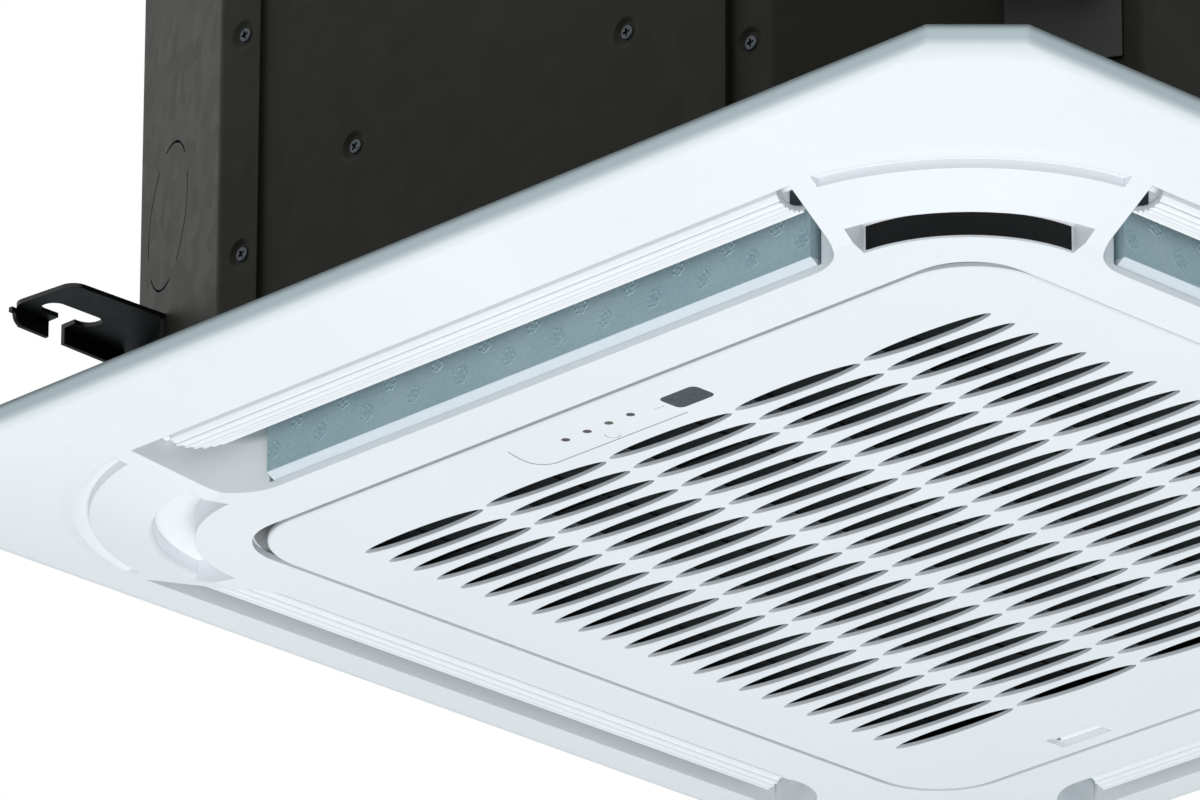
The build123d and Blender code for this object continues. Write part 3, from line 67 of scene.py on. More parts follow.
# %% Camera
camera_place = Vector((2.99254, -3.14857, -1.77342))
camera_turn = math.radians(45.432)
camera_rise = math.radians(22.918)
camera_roll = math.radians(0.194)
camera_lens = 346.66
sensor_wide = 36
camera_reach = 100

camera_data = bpy.data.cameras.new("studio_camera")
camera = bpy.data.objects.new("studio_camera", camera_data)
bpy.context.scene.collection.objects.link(camera)
bpy.context.scene.camera = camera
camera_data.sensor_width = sensor_wide
camera_data.lens = camera_lens
camera_data.clip_end = camera_reach
upright = Matrix.Rotation(camera_turn, 4, "Z") @ Matrix.Rotation(math.pi / 2 + camera_rise, 4, "X")
camera.matrix_world = Matrix.Translation(camera_place) @ upright @ Matrix.Rotation(camera_roll, 4, "Z")
print("camera at", tuple(round(c, 2) for c in camera_place))

# %% [markdown]
# ## Material helpers
# Every finish is a small tree of shader nodes. One function adds a node with its settings and its links,
# and one turns the hex colours that designers use, which are sRGB, into the linear numbers that the
# renderer adds up.

# %% Material helpers
def linear(hex_colour, alpha=1.0):
    """sRGB hex to the linear colour that the shaders take."""
    channels = [int(hex_colour[k:k + 2], 16) / 255 for k in (0, 2, 4)]
    return [c / 12.92 if c <= 0.04045 else ((c + 0.055) / 1.055) ** 2.4 for c in channels] + [alpha]


def new_material(name):
    """A named material with only its output and its main shader."""
    material = bpy.data.materials.new(name)
    material.use_nodes = True
    tree = material.node_tree
    tree.nodes.clear()
    output = tree.nodes.new("ShaderNodeOutputMaterial")
    shader = tree.nodes.new("ShaderNodeBsdfPrincipled")
    tree.links.new(shader.outputs["BSDF"], output.inputs["Surface"])
    return material, tree, shader


def add_node(tree, kind, settings=None, **inputs):
    """One shader node: settings are its properties, inputs are values or the sockets that feed it.

    An input is called by its name, or by i and its number where names repeat.
    """
    made = tree.nodes.new(kind)
    for key, value in (settings or {}).items():
        setattr(made, key, value)
    for key, value in inputs.items():
        by_number = key[0] == "i" and key[1:].isdigit()
        socket = made.inputs[int(key[1:]) if by_number else key.replace("_", " ")]
        if isinstance(value, bpy.types.NodeSocket):
            tree.links.new(value, socket)
        else:
            socket.default_value = value
    return made


def colour_ramp(tree, factor, stops):
    """A colour ramp fed by factor, with stops of (place, hex colour)."""
    ramp = add_node(tree, "ShaderNodeValToRGB", Fac=factor)
    while len(ramp.color_ramp.elements) < len(stops):
        ramp.color_ramp.elements.new(0.5)
    for element, (place, hex_colour) in zip(ramp.color_ramp.elements, stops):
        element.position = place
        element.color = linear(hex_colour)
    return ramp.outputs["Color"]


def object_place(tree, pitch_mm=None):
    """Object coordinates, in units of pitch_mm, so that a pattern has its real size."""
    place = add_node(tree, "ShaderNodeTexCoord").outputs["Object"]
    if pitch_mm:
        scale = 1 / (pitch_mm * MM)
        place = add_node(tree, "ShaderNodeMapping", i0=place, Scale=(scale, scale, scale)).outputs["Vector"]
    return place


def bump(tree, shader, height, depth_mm, normal=None):
    """Surface relief of depth_mm where height goes from 0 to 1."""
    relief = add_node(tree, "ShaderNodeBump", Height=height, Strength=1.0, Distance=depth_mm * MM)
    if normal:
        tree.links.new(normal, relief.inputs["Normal"])
    tree.links.new(relief.outputs["Normal"], shader.inputs["Normal"])


finishes = {}


def finish(slot_name, material):
    """Keep a finish under the record's slot name."""
    finishes[slot_name] = material
    print("finish:", slot_name, "->", material.name)


# %% [markdown]
# ## White panel plastic
# The panel, the grille and the flaps are injection-moulded ABS with a fine spark-eroded texture. That
# texture has a grain of about a third of a millimetre, so highlights spread into a soft sheen. A
# rounded-edge normal gives the small radius that the mould leaves on every edge. It is wider near the rim,
# where the panel turns up to the ceiling in a soft curve. Up the steep rim the colour turns grey, as painted
# shade. A slow cloud of slightly greyer plastic keeps the large faces from looking drawn. The flaps' ribs
# are so shallow that they hardly shade, so the flaps have an ABS of their own, whose lower faces are shaded
# as if they were nearly flat.

# %% White panel plastic
cloud_mm = 160
grain_mm = 0.35
grain_depth_mm = 0.004
turn_up_low = 16.5 * MM
turn_up_high = 19.5 * MM
# Painted shade on the steep rim: between these heights the panel's colour turns to this grey.
rim_shade_low = 21 * MM
rim_shade_high = 24.5 * MM
rim_shade_grey = "B4BFC3"
faces_down = -0.5
faces_aside = -0.1


def moulded_plastic(name, pale, shade, roughness, edge_mm, rim_mm=None):
    """Moulded plastic with edges rounded by edge_mm, and by rim_mm where the panel turns up."""
    material, tree, shader = new_material(name)
    cloud = add_node(tree, "ShaderNodeTexNoise", Vector=object_place(tree, cloud_mm), Scale=1.0, Detail=3.0)
    colour = colour_ramp(tree, cloud.outputs["Fac"], [(0.35, shade), (0.65, pale)])
    grain = add_node(tree, "ShaderNodeTexNoise", Vector=object_place(tree, grain_mm), Scale=1.0, Detail=2.0)
    radius = edge_mm * MM
    if rim_mm:
        height = add_node(tree, "ShaderNodeSeparateXYZ", Vector=object_place(tree)).outputs["Z"]
        radius = add_node(tree, "ShaderNodeMapRange", Value=height, From_Min=turn_up_low,
                          From_Max=turn_up_high, To_Min=edge_mm * MM, To_Max=rim_mm * MM).outputs["Result"]
        # Painted shade: up the steep rim the colour turns grey.
        rim = add_node(tree, "ShaderNodeMapRange", Value=height, From_Min=rim_shade_low, From_Max=rim_shade_high)
        colour = add_node(tree, "ShaderNodeMix", dict(data_type="RGBA"), Factor=rim.outputs["Result"],
                          i6=colour, i7=linear(rim_shade_grey)).outputs[2]
    tree.links.new(colour, shader.inputs["Base Color"])
    rounded = add_node(tree, "ShaderNodeBevel", dict(samples=6), Radius=radius)
    bump(tree, shader, grain.outputs["Fac"], grain_depth_mm, rounded.outputs["Normal"])
    shader.inputs["Roughness"].default_value = roughness
    shader.inputs["IOR"].default_value = 1.53
    return material


def flattened(material, share):
    """Turn the shading of the faces that look down towards straight down, by this share."""
    tree = material.node_tree
    shader = tree.nodes["Principled BSDF"]
    shaded = shader.inputs["Normal"].links[0].from_socket
    to_piece = dict(vector_type="NORMAL", convert_from="WORLD", convert_to="OBJECT")
    to_world = dict(vector_type="NORMAL", convert_from="OBJECT", convert_to="WORLD")
    face = add_node(tree, "ShaderNodeNewGeometry").outputs["Normal"]
    facing = add_node(tree, "ShaderNodeVectorTransform", to_piece, Vector=face)
    up = add_node(tree, "ShaderNodeSeparateXYZ", Vector=facing.outputs[0]).outputs["Z"]
    amount = add_node(tree, "ShaderNodeMapRange", Value=up, From_Min=faces_down, From_Max=faces_aside,
                      To_Min=share, To_Max=0.0)
    down = add_node(tree, "ShaderNodeVectorTransform", to_world, Vector=(0, 0, -1))
    mixed = add_node(tree, "ShaderNodeMix", dict(data_type="VECTOR"), Factor=amount.outputs["Result"],
                     i4=shaded, i5=down.outputs[0])
    straight = add_node(tree, "ShaderNodeVectorMath", dict(operation="NORMALIZE"), i0=mixed.outputs[1])
    tree.links.new(straight.outputs[0], shader.inputs["Normal"])
    return material


finish("white_abs", moulded_plastic("moulded white ABS panel", "F4F5F8", "F0F2F5", 0.4, 0.5, 3.0))
flap_plastic = flattened(moulded_plastic("moulded white ABS flap", "F6F7F9", "F3F4F7", 0.6, 1.2), 0.8)
finish("grille_abs", moulded_plastic("moulded white ABS grille", "F4F5F8", "F0F2F5", 0.38, 0.35))
finish("grey_plastic", moulded_plastic("moulded grey ABS", "9A9FA0", "92989A", 0.5, 0.3))
finish("fan_plastic", moulded_plastic("glass-filled polypropylene", "383B3D", "2F3234", 0.55, 0.4))
finish("dark_plastic", moulded_plastic("black polyamide", "16181A", "121315", 0.5, 0.3))
finish("pvc", moulded_plastic("rigid PVC", "C9CCC9", "C2C5C2", 0.4, 0.4))

# %% [markdown]
# ## Expanded polystyrene
# The linings of the outlets and the drain pan are expanded polystyrene: beads about 3 mm across, swollen
# until they press flat against each other. On the moulded faces only a faint net of shallow seams shows.
# The lower edge of each lining was trimmed, so it is crumbly, with pits where beads came away, and paler:
# it keeps the foam's own near-white, while the rest of each lining is drawn in a teal grey of painted shade.

# %% Expanded polystyrene
stain_mm = 35
seam_wide = 0.1
seam_share = 0.35
crumb_mm = 1.1
crumb_share = 8.0
trim_fade = 0.5 * MM
trimmed_colour = "D9E0E6"


def bead_foam(name, pale, seam, bead_mm, trimmed_below=None):
    """Foam of beads bead_mm across, crumbly below a height if one is given."""
    material, tree, shader = new_material(name)
    beads = add_node(tree, "ShaderNodeTexVoronoi", dict(feature="DISTANCE_TO_EDGE"),
                     Vector=object_place(tree, bead_mm), Scale=1.0)
    seams = add_node(tree, "ShaderNodeMapRange", Value=beads.outputs["Distance"], From_Max=seam_wide)
    cloud = add_node(tree, "ShaderNodeTexNoise", Vector=object_place(tree, stain_mm), Scale=1.0, Detail=4.0)
    tint = add_node(tree, "ShaderNodeMath", dict(operation="MULTIPLY_ADD"), i0=seams.outputs["Result"],
                    i1=seam_share, i2=cloud.outputs["Fac"])
    colour = colour_ramp(tree, tint.outputs[0], [(0.45, seam), (0.95, pale)])
    relief = seams.outputs["Result"]
    if trimmed_below:
        height = add_node(tree, "ShaderNodeSeparateXYZ", Vector=object_place(tree)).outputs["Z"]
        trimmed = add_node(tree, "ShaderNodeMapRange", Value=height, From_Min=trimmed_below,
                           From_Max=trimmed_below + trim_fade, To_Min=1.0, To_Max=0.0)
        crumbs = add_node(tree, "ShaderNodeTexNoise", Vector=object_place(tree, crumb_mm), Scale=1.0,
                          Detail=3.0)
        rough = add_node(tree, "ShaderNodeMath", dict(operation="MULTIPLY"), i0=crumbs.outputs["Fac"],
                         i1=trimmed.outputs["Result"])
        relief = add_node(tree, "ShaderNodeMath", dict(operation="MULTIPLY_ADD"), i0=rough.outputs[0],
                          i1=crumb_share, i2=relief).outputs[0]
        colour = add_node(tree, "ShaderNodeMix", dict(data_type="RGBA"), Factor=trimmed.outputs["Result"],
                          i6=colour, i7=linear(trimmed_colour)).outputs[2]
    tree.links.new(colour, shader.inputs["Base Color"])
    bump(tree, shader, relief, 0.03)
    shader.inputs["Roughness"].default_value = 0.75
    shader.inputs["IOR"].default_value = 1.4
    return material


lining_trim = 5.4 * MM
# Painted shade: the lining's teal greys stand for the shade deep in the outlet; the foam itself is white.
finish("eps_foam", bead_foam("outlet lining of expanded polystyrene", "A5BBC1", "97B0B8", 3.0, lining_trim))
finish("eps_white", bead_foam("white expanded polystyrene", "DDE1E1", "CDD3D3", 4.0))

# %% [markdown]
# ## Casing steel
# The casing is hot-dip galvanised sheet. Zinc freezes into flat crystals, the spangle, 8 to 15 mm across,
# each with a shade and a gloss that differ a little. In the photograph the sheet hangs in shadow: it is a
# dark olive grey that turns browner towards the panel, with hardly any spangle to see. So it is drawn in
# those dark colours and without a metal's mirror gloss, which would only show the white studio.

# %% Casing steel
spangle_mm = 11
spangle_share = 0.04
patina_mm = 120
brown_low = 30 * MM
brown_high = 190 * MM


def galvanised_sheet(name, dark, pale, foot):
    """Spangled sheet between dark and pale, which turns to the foot colour near the panel."""
    material, tree, shader = new_material(name)
    spangle = add_node(tree, "ShaderNodeTexVoronoi", Vector=object_place(tree, spangle_mm), Scale=1.0)
    flake = add_node(tree, "ShaderNodeSeparateColor", Color=spangle.outputs["Color"])
    cloud = add_node(tree, "ShaderNodeTexNoise", Vector=object_place(tree, patina_mm), Scale=1.0, Detail=4.0)
    mixed = add_node(tree, "ShaderNodeMath", dict(operation="MULTIPLY_ADD"),
                     i0=flake.outputs["Red"], i1=spangle_share, i2=cloud.outputs["Fac"])
    steel = colour_ramp(tree, mixed.outputs[0], [(0.35, dark), (0.8, pale)])
    height = add_node(tree, "ShaderNodeSeparateXYZ", Vector=object_place(tree)).outputs["Z"]
    # The colour turns darker and browner towards the panel, below brown_high.
    low = add_node(tree, "ShaderNodeMapRange", Value=height, From_Min=brown_low, From_Max=brown_high,
                   To_Min=1.0, To_Max=0.0)
    toward_panel = add_node(tree, "ShaderNodeMix", dict(data_type="RGBA"), Factor=low.outputs["Result"],
                       i6=steel, i7=linear(foot))
    tree.links.new(toward_panel.outputs[2], shader.inputs["Base Color"])
    rough = add_node(tree, "ShaderNodeMapRange", Value=flake.outputs["Green"], To_Min=0.5, To_Max=0.56)
    tree.links.new(rough.outputs["Result"], shader.inputs["Roughness"])
    shader.inputs["Metallic"].default_value = 0.0
    shader.inputs["Specular IOR Level"].default_value = 0.15
    rounded = add_node(tree, "ShaderNodeBevel", dict(samples=4), Radius=0.4 * MM)
    bump(tree, shader, cloud.outputs["Fac"], 0.04, rounded.outputs["Normal"])
    return material


finish("galvanised", galvanised_sheet("galvanised steel sheet", "25241C", "302F25", "1D1911"))

# %% [markdown]
# ## Paint, plated steel and other metals
# The hanger plates are black stoved paint over steel, with a slight orange-peel surface. The screws are
# zinc plated; their zinc is drawn dark, as painted shade of the dimples they sit in. The fins are thin
# aluminium, the pipes drawn copper and the flare nuts turned brass.

# %% Paint and metals
def metal(name, colour, roughness, wear_mm, metallic=1.0):
    """A metal, or paint over one, whose gloss differs a little in patches of wear_mm."""
    material, tree, shader = new_material(name)
    wear = add_node(tree, "ShaderNodeTexNoise", Vector=object_place(tree, wear_mm), Scale=1.0, Detail=4.0)
    spread = add_node(tree, "ShaderNodeMapRange", Value=wear.outputs["Fac"], To_Min=roughness * 0.7,
                      To_Max=roughness * 1.3)
    tree.links.new(spread.outputs["Result"], shader.inputs["Roughness"])
    rounded = add_node(tree, "ShaderNodeBevel", dict(samples=4), Radius=0.3 * MM)
    bump(tree, shader, wear.outputs["Fac"], 0.02, rounded.outputs["Normal"])
    shader.inputs["Base Color"].default_value = linear(colour)
    shader.inputs["Metallic"].default_value = metallic
    return material


finish("black_paint", metal("black stoved paint", "030404", 0.45, 2.0, 0.0))
# Painted shade: the zinc is drawn dark, for the shade in the screws' dimples.
finish("zinc", metal("zinc-plated steel", "4A5054", 0.3, 3.0))
finish("copper", metal("drawn copper", "B8714A", 0.3, 12.0))
finish("brass", metal("turned brass", "B89A5A", 0.28, 4.0))

# %% [markdown]
# ## Fin pack
# The heat exchanger is a stack of thin aluminium fins, 1.4 mm apart. The gaps between them are drawn
# dark, as painted shade. The fins stand across each side of the coil, so the stripes follow X on the front
# and back sides and Y on the other two.

# %% Fin pack
def fin_stock(name, bright, gap_shade, pitch_mm):
    """Fins pitch_mm apart, with painted shade in the gaps between them."""
    material, tree, shader = new_material(name)
    along = add_node(tree, "ShaderNodeSeparateXYZ", Vector=object_place(tree))
    size_x = add_node(tree, "ShaderNodeMath", dict(operation="ABSOLUTE"), i0=along.outputs["X"])
    size_y = add_node(tree, "ShaderNodeMath", dict(operation="ABSOLUTE"), i0=along.outputs["Y"])
    front = add_node(tree, "ShaderNodeMath", dict(operation="GREATER_THAN"), i0=size_y.outputs[0],
                     i1=size_x.outputs[0])
    run = add_node(tree, "ShaderNodeMix", dict(data_type="FLOAT"), i0=front.outputs[0], i2=along.outputs["Y"],
                   i3=along.outputs["X"])
    phase = add_node(tree, "ShaderNodeMath", dict(operation="MULTIPLY"), i0=run.outputs[0],
                     i1=2 * math.pi / (pitch_mm * MM))
    wave = add_node(tree, "ShaderNodeMath", dict(operation="SINE"), i0=phase.outputs[0])
    fin = add_node(tree, "ShaderNodeMapRange", Value=wave.outputs[0], From_Min=-0.6, From_Max=0.2)
    # Painted shade: the gaps between the fins are drawn in this dark colour.
    stripes = colour_ramp(tree, fin.outputs["Result"], [(0.0, gap_shade), (1.0, bright)])
    tree.links.new(stripes, shader.inputs["Base Color"])
    shader.inputs["Metallic"].default_value = 0.8
    shader.inputs["Roughness"].default_value = 0.38
    bump(tree, shader, fin.outputs["Result"], 0.4)
    return material


finish("aluminium", fin_stock("aluminium fin stock", "C5C8CA", "1E2022", 1.4))

# %% [markdown]
# ## Small parts
# The lamps are unlit tinted lenses and the receiver window is smoked acrylic, glossy and slightly mottled.
# The rubber is matt, and the circuit boards have their green solder mask.

# %% Small parts
def tinted(name, colour, roughness):
    """Glossy tinted plastic with a slight mottle."""
    material, tree, shader = new_material(name)
    speck = add_node(tree, "ShaderNodeTexNoise", Vector=object_place(tree, 1.2), Scale=1.0, Detail=2.0)
    mottle = colour_ramp(tree, speck.outputs["Fac"], [(0.3, colour), (0.9, "606468")])
    tree.links.new(mottle, shader.inputs["Base Color"])
    shader.inputs["Roughness"].default_value = roughness
    shader.inputs["IOR"].default_value = 1.49
    shader.inputs["Coat Weight"].default_value = 0.6
    shader.inputs["Coat Roughness"].default_value = 0.1
    return material


finish("lamp_red", tinted("dark red lamp lens", "4A1418", 0.25))
finish("lamp_olive", tinted("olive lamp lens", "4F5230", 0.25))
finish("lamp_green", tinted("dark green lamp lens", "123826", 0.25))
finish("smoked", tinted("smoked acrylic", "0B0C10", 0.12))
finish("rubber", moulded_plastic("black rubber", "060606", "040404", 0.9, 0.4))
finish("circuit_green", moulded_plastic("green circuit board", "1D4A2C", "173D24", 0.4, 0.2))

# %% [markdown]
# ## Filter net
# The air filter is a woven net of dark threads, 1.2 mm apart, in a moulded frame. Its holes are drawn
# near-black, as painted shade of the dark behind the net.

# %% Filter net
def woven_net(name, thread, hole_shade, pitch_mm):
    """A net of threads pitch_mm apart along X and Y, with painted shade in the holes between them."""
    material, tree, shader = new_material(name)
    along = add_node(tree, "ShaderNodeSeparateXYZ", Vector=object_place(tree))
    waves = []
    for axis in "XY":
        phase = add_node(tree, "ShaderNodeMath", dict(operation="MULTIPLY"), i0=along.outputs[axis],
                         i1=2 * math.pi / (pitch_mm * MM))
        wave = add_node(tree, "ShaderNodeMath", dict(operation="SINE"), i0=phase.outputs[0])
        waves.append(wave.outputs[0])
    weave = add_node(tree, "ShaderNodeMath", dict(operation="MAXIMUM"), i0=waves[0], i1=waves[1])
    thread_here = add_node(tree, "ShaderNodeMapRange", Value=weave.outputs[0], From_Min=0.3, From_Max=0.8)
    # Painted shade: the holes of the net are drawn near-black.
    weft = colour_ramp(tree, thread_here.outputs["Result"], [(0.0, hole_shade), (1.0, thread)])
    tree.links.new(weft, shader.inputs["Base Color"])
    shader.inputs["Roughness"].default_value = 0.6
    bump(tree, shader, thread_here.outputs["Result"], 0.15)
    return material


finish("filter_mesh", woven_net("dark polypropylene net", "1C1F21", "050607", 1.2))

# %% [markdown]
# ## Finishes onto the frame
# The record says which finish each node has, and the flaps take their own ABS. Only the material slot is
# assigned: the node's mesh stays as it is.

# %% Finishes onto the frame
slot_of = {entry["node"]: entry["material_slot"] for entry in frame["record"]["subparts"]}
for name, node in nodes.items():
    node.data.materials.clear()
    material = flap_plastic if name.startswith("flap_") else finishes[slot_of[name]]
    node.data.materials.append(material)
print("nodes dressed:", len(nodes))

# %% [markdown]
# ## Hands for modelling
# The details below are modelled as by hand: a primitive is added, shaped, and its place is applied to its
# mesh, so that every finished piece sits at the origin like the frame's own pieces do.

# %% Hands for modelling
smooth_under = math.radians(35)
weld_distance = 0.01 * MM


def pick(*pieces):
    """Select these pieces alone, with the first one active."""
    bpy.ops.object.select_all(action="DESELECT")
    for piece in pieces:
        piece.select_set(True)
    bpy.context.view_layer.objects.active = pieces[0]


def place_applied(piece):
    """Write the piece's place, turn and scale into its mesh."""
    pick(piece)
    bpy.ops.object.transform_apply(location=True, rotation=True, scale=True)


def settle(piece, name, material, body):
    """Apply the piece's place, name it, dress it and let it ride on a body."""
    place_applied(piece)
    piece.name = name
    piece.data.name = name
    piece.data.materials.clear()
    piece.data.materials.append(material)
    bpy.ops.object.shade_smooth_by_angle(angle=smooth_under)
    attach(piece, body)
    print("piece:", name, len(piece.data.polygons), "faces")
    return piece


def apply_modifier(piece, kind, **settings):
    """Add a modifier to the piece with these settings and apply it."""
    modifier = piece.modifiers.new(kind.title(), kind)
    for key, value in settings.items():
        setattr(modifier, key, value)
    pick(piece)
    bpy.ops.object.modifier_apply(modifier=modifier.name)


def carve(piece, tool, job="DIFFERENCE"):
    """Cut the tool out of the piece, or join it to the piece, and remove the tool."""
    apply_modifier(piece, "BOOLEAN", operation=job, solver="EXACT", object=tool)
    bpy.data.objects.remove(tool)


def block(size, middle, turn=0.0):
    """A box of this size round its middle, turned about the upright axis."""
    bpy.ops.object.select_all(action="DESELECT")
    bpy.ops.mesh.primitive_cube_add(size=1, location=middle)
    made = bpy.context.active_object
    made.dimensions = size
    made.rotation_euler = (0, 0, turn)
    place_applied(made)
    return made


def joined(pieces):
    """All the pieces as one object."""
    pick(*pieces)
    bpy.ops.object.join()
    return bpy.context.active_object


def copied(piece, matrix):
    """A copy of the piece with its own mesh, placed by matrix."""
    twin = piece.copy()
    twin.data = piece.data.copy()
    bpy.context.scene.collection.objects.link(twin)
    twin.matrix_world = matrix
    return twin


# %% [markdown]
# ## Copies of CAD pieces
# A piece of the frame that gets a finer form is copied with its vertices merged, so that it can be reshaped
# or cut. The loose parts of a node, such as its single screws, are found by walking along their edges.

# %% Copies of CAD pieces
def merged_copy(node_name):
    """A copy of a CAD node whose vertices are merged, ready to be reshaped."""
    node = nodes[node_name]
    place = node.matrix_world.copy()
    twin = copied(node, place)
    twin.parent = None
    twin.matrix_world = place
    place_applied(twin)
    bpy.ops.mesh.customdata_custom_splitnormals_clear()
    bpy.ops.object.mode_set(mode="EDIT")
    bpy.ops.mesh.select_all(action="SELECT")
    bpy.ops.mesh.remove_doubles(threshold=weld_distance)
    bpy.ops.object.mode_set(mode="OBJECT")
    return twin


def loose_boxes(node_name):
    """The box of each loose part of a CAD node, as (lowest corner, highest corner)."""
    shape = bmesh.new()
    shape.from_mesh(nodes[node_name].data)
    bmesh.ops.remove_doubles(shape, verts=shape.verts, dist=weld_distance)
    left = set(shape.verts)
    boxes = []
    while left:
        front = [left.pop()]
        found = list(front)
        while front:
            vertex = front.pop()
            for edge in vertex.link_edges:
                other = edge.other_vert(vertex)
                if other in left:
                    left.discard(other)
                    front.append(other)
                    found.append(other)
        low = Vector([min(v.co[k] for v in found) for k in range(3)])
        high = Vector([max(v.co[k] for v in found) for k in range(3)])
        boxes.append((low, high))
    shape.free()
    return sorted(boxes, key=lambda pair: tuple(round(c, 4) for c in pair[0]))


# %% [markdown]
# ## Casing screws
# Pan-head screws with a cross recess sit in the casing's pressed dimples. One head is made, and a copy of
# it goes on each screw of the frame, turned at random because nobody lines up screws.

# %% Casing screws
head_radius = 3.2 * MM
head_height = 1.6 * MM
head_round = 0.8 * MM
recess_long = 3.6 * MM
recess_wide = 1.1 * MM
recess_deep = 1.1 * MM
turns = random.Random(7)

bpy.ops.object.select_all(action="DESELECT")
bpy.ops.mesh.primitive_cylinder_add(vertices=32, radius=head_radius, depth=head_height,
                                    location=(0, 0, head_height / 2))
screw_head = bpy.context.active_object
apply_modifier(screw_head, "BEVEL", width=head_round, segments=4, limit_method="ANGLE",
               angle_limit=math.radians(60))
for turn in (0, 90):
    arm = block((recess_long, recess_wide, 2 * recess_deep), (0, 0, head_height), math.radians(turn))
    carve(screw_head, arm)

heads = []
for low, high in loose_boxes("casing_screws"):
    outward = 1 if low.y > 0 else -1
    outer_y = high.y if outward > 0 else low.y
    middle = Vector(((low.x + high.x) / 2, outer_y - outward * head_height, (low.z + high.z) / 2))
    face_out = Matrix.Rotation(-outward * math.pi / 2, 4, "X")
    spin = Matrix.Rotation(turns.uniform(0, math.pi / 2), 4, "Z")
    heads.append(copied(screw_head, Matrix.Translation(middle) @ face_out @ spin))
bpy.data.objects.remove(screw_head)
wall_screws = settle(joined(heads), "casing_screw_heads", finishes["zinc"], "cabinet")
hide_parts("casing_screws")

# %% [markdown]
# ## Trimmed foot of the foam linings
# Each foam lining stands out past the lip of its outlet and is trimmed at a slant there, so that a pale
# crumbly strip looks down between the lip and the lining's grey face. The CAD lining's face is moved
# outward as a whole, and its foot is lifted and slanted back.

# %% Trimmed foot of the foam linings
outlets = (("front", 0), ("right", 90), ("back", 180), ("left", 270))
lip_edge = 234 * MM
lining_face = 238 * MM
face_depth = 0.5 * MM
strip_depth = 3.5 * MM
foot_above = 9 * MM
trim_top = 5.6 * MM
foot_step = 3 * MM
foot_low = 3.2 * MM

for side, turn in outlets:
    lining = merged_copy("outlet_foam_" + side)
    to_front = Matrix.Rotation(-math.radians(turn), 4, "Z")
    for vertex in lining.data.vertices:
        place = to_front @ vertex.co
        in_foot = place.z < foot_above
        if place.y < -lip_edge + face_depth:
            place.y = -lining_face
            if in_foot:
                place.z = trim_top
        elif place.y < -lip_edge + strip_depth:
            place.y -= foot_step if in_foot else lining_face - lip_edge
            if in_foot:
                place.z = min(place.z, foot_low)
        vertex.co = to_front.inverted() @ place
    lining = settle(lining, "outlet_lining_" + side, finishes["eps_foam"], "cabinet")
    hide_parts("outlet_foam_" + side)

# %% [markdown]
# ## Painted shade behind the open corner slot
# The arc slot by the lamps' right-hand end is open to the inside and looks black. A thin black sheet of
# painted shade lies against the curved wall that the opening is cut in.

# %% Painted shade behind the open corner slot
slot_centre = 175 * MM
slot_wall = 60 * MM
shade_sheet_clear = 0.1 * MM
shade_sheet_thick = 0.5 * MM
shade_sheet_low = 1.0 * MM
shade_sheet_high = 10.9 * MM
shade_sheet_turn = -45.3
shade_sheet_half_angle = 41.6

# The black sheet is painted shade: it stands for the dark inside the unit behind the slot.
bpy.ops.object.select_all(action="DESELECT")
bpy.ops.mesh.primitive_circle_add(vertices=180, radius=slot_wall + shade_sheet_clear, location=(0, 0, shade_sheet_low))
shade_sheet = bpy.context.active_object
place_applied(shade_sheet)
bpy.ops.object.mode_set(mode="EDIT")
bpy.ops.mesh.select_all(action="SELECT")
bpy.ops.mesh.extrude_region_move(TRANSFORM_OT_translate=dict(value=(0, 0, shade_sheet_high - shade_sheet_low)))
bpy.ops.mesh.select_all(action="DESELECT")
bpy.ops.object.mode_set(mode="OBJECT")
for face in shade_sheet.data.polygons:
    angle = math.degrees(math.atan2(face.center.y, face.center.x))
    face.select = abs(angle - shade_sheet_turn) > shade_sheet_half_angle
bpy.ops.object.mode_set(mode="EDIT")
bpy.ops.mesh.delete(type="FACE")
bpy.ops.object.mode_set(mode="OBJECT")
apply_modifier(shade_sheet, "SOLIDIFY", thickness=shade_sheet_thick, offset=1.0)
shade_sheet.matrix_world = Matrix.Translation((slot_centre, -slot_centre, 0))
settle(shade_sheet, "corner_slot_painted_shade", finishes["rubber"], "cabinet")

# %% [markdown]
# ## Rounded slots of the grille
# The mould rounds both tips of every slot in the grille, so from below each slot looks like a long oval
# with full tips. The plate is thinned behind the field of slots, so only a narrow wall shows along each
# slot's far side. A slab closes the CAD plate's slots first, a shallow pocket thins it from above, and 120
# ovals are cut through it at the places that the photograph shows.

# %% Rounded slots of the grille
slot_columns = 5
slot_rows = 24
slot_pitch_x = 70.6 * MM
slot_pitch_y = 13.5 * MM
oval_half_length = 33.6 * MM
oval_half_width = 4.4 * MM
oval_turn = math.radians(1.0)
slot_cut = 2.6 * MM
field_shift_x = -2.3 * MM
field_shift_y = -4.0 * MM
plate_thick = 2.5 * MM
thinned_to = 1.8 * MM
pocket_over = 0.1 * MM
slab_size = (356 * MM, 326 * MM, plate_thick)
pocket_size = (354 * MM, 322 * MM, plate_thick + pocket_over - thinned_to)

grille = merged_copy("return_grille")
bpy.ops.object.select_all(action="DESELECT")
bpy.ops.mesh.primitive_cylinder_add(vertices=44, radius=1, depth=2 * slot_cut)
oval = bpy.context.active_object
oval.scale = (oval_half_length, oval_half_width, 1)
oval.rotation_euler = (0, 0, oval_turn)
oval.location = (field_shift_x - (slot_columns - 1) / 2 * slot_pitch_x,
                 field_shift_y - (slot_rows - 1) / 2 * slot_pitch_y, 0)
place_applied(oval)
for count, step in ((slot_columns, (slot_pitch_x, 0, 0)), (slot_rows, (0, slot_pitch_y, 0))):
    apply_modifier(oval, "ARRAY", count=count, use_relative_offset=False, use_constant_offset=True,
                   constant_offset_displace=step)
carve(grille, block(slab_size, (0, 0, slab_size[2] / 2)), "UNION")
carve(grille, block(pocket_size, (0, 0, thinned_to + pocket_size[2] / 2)))
carve(grille, oval)
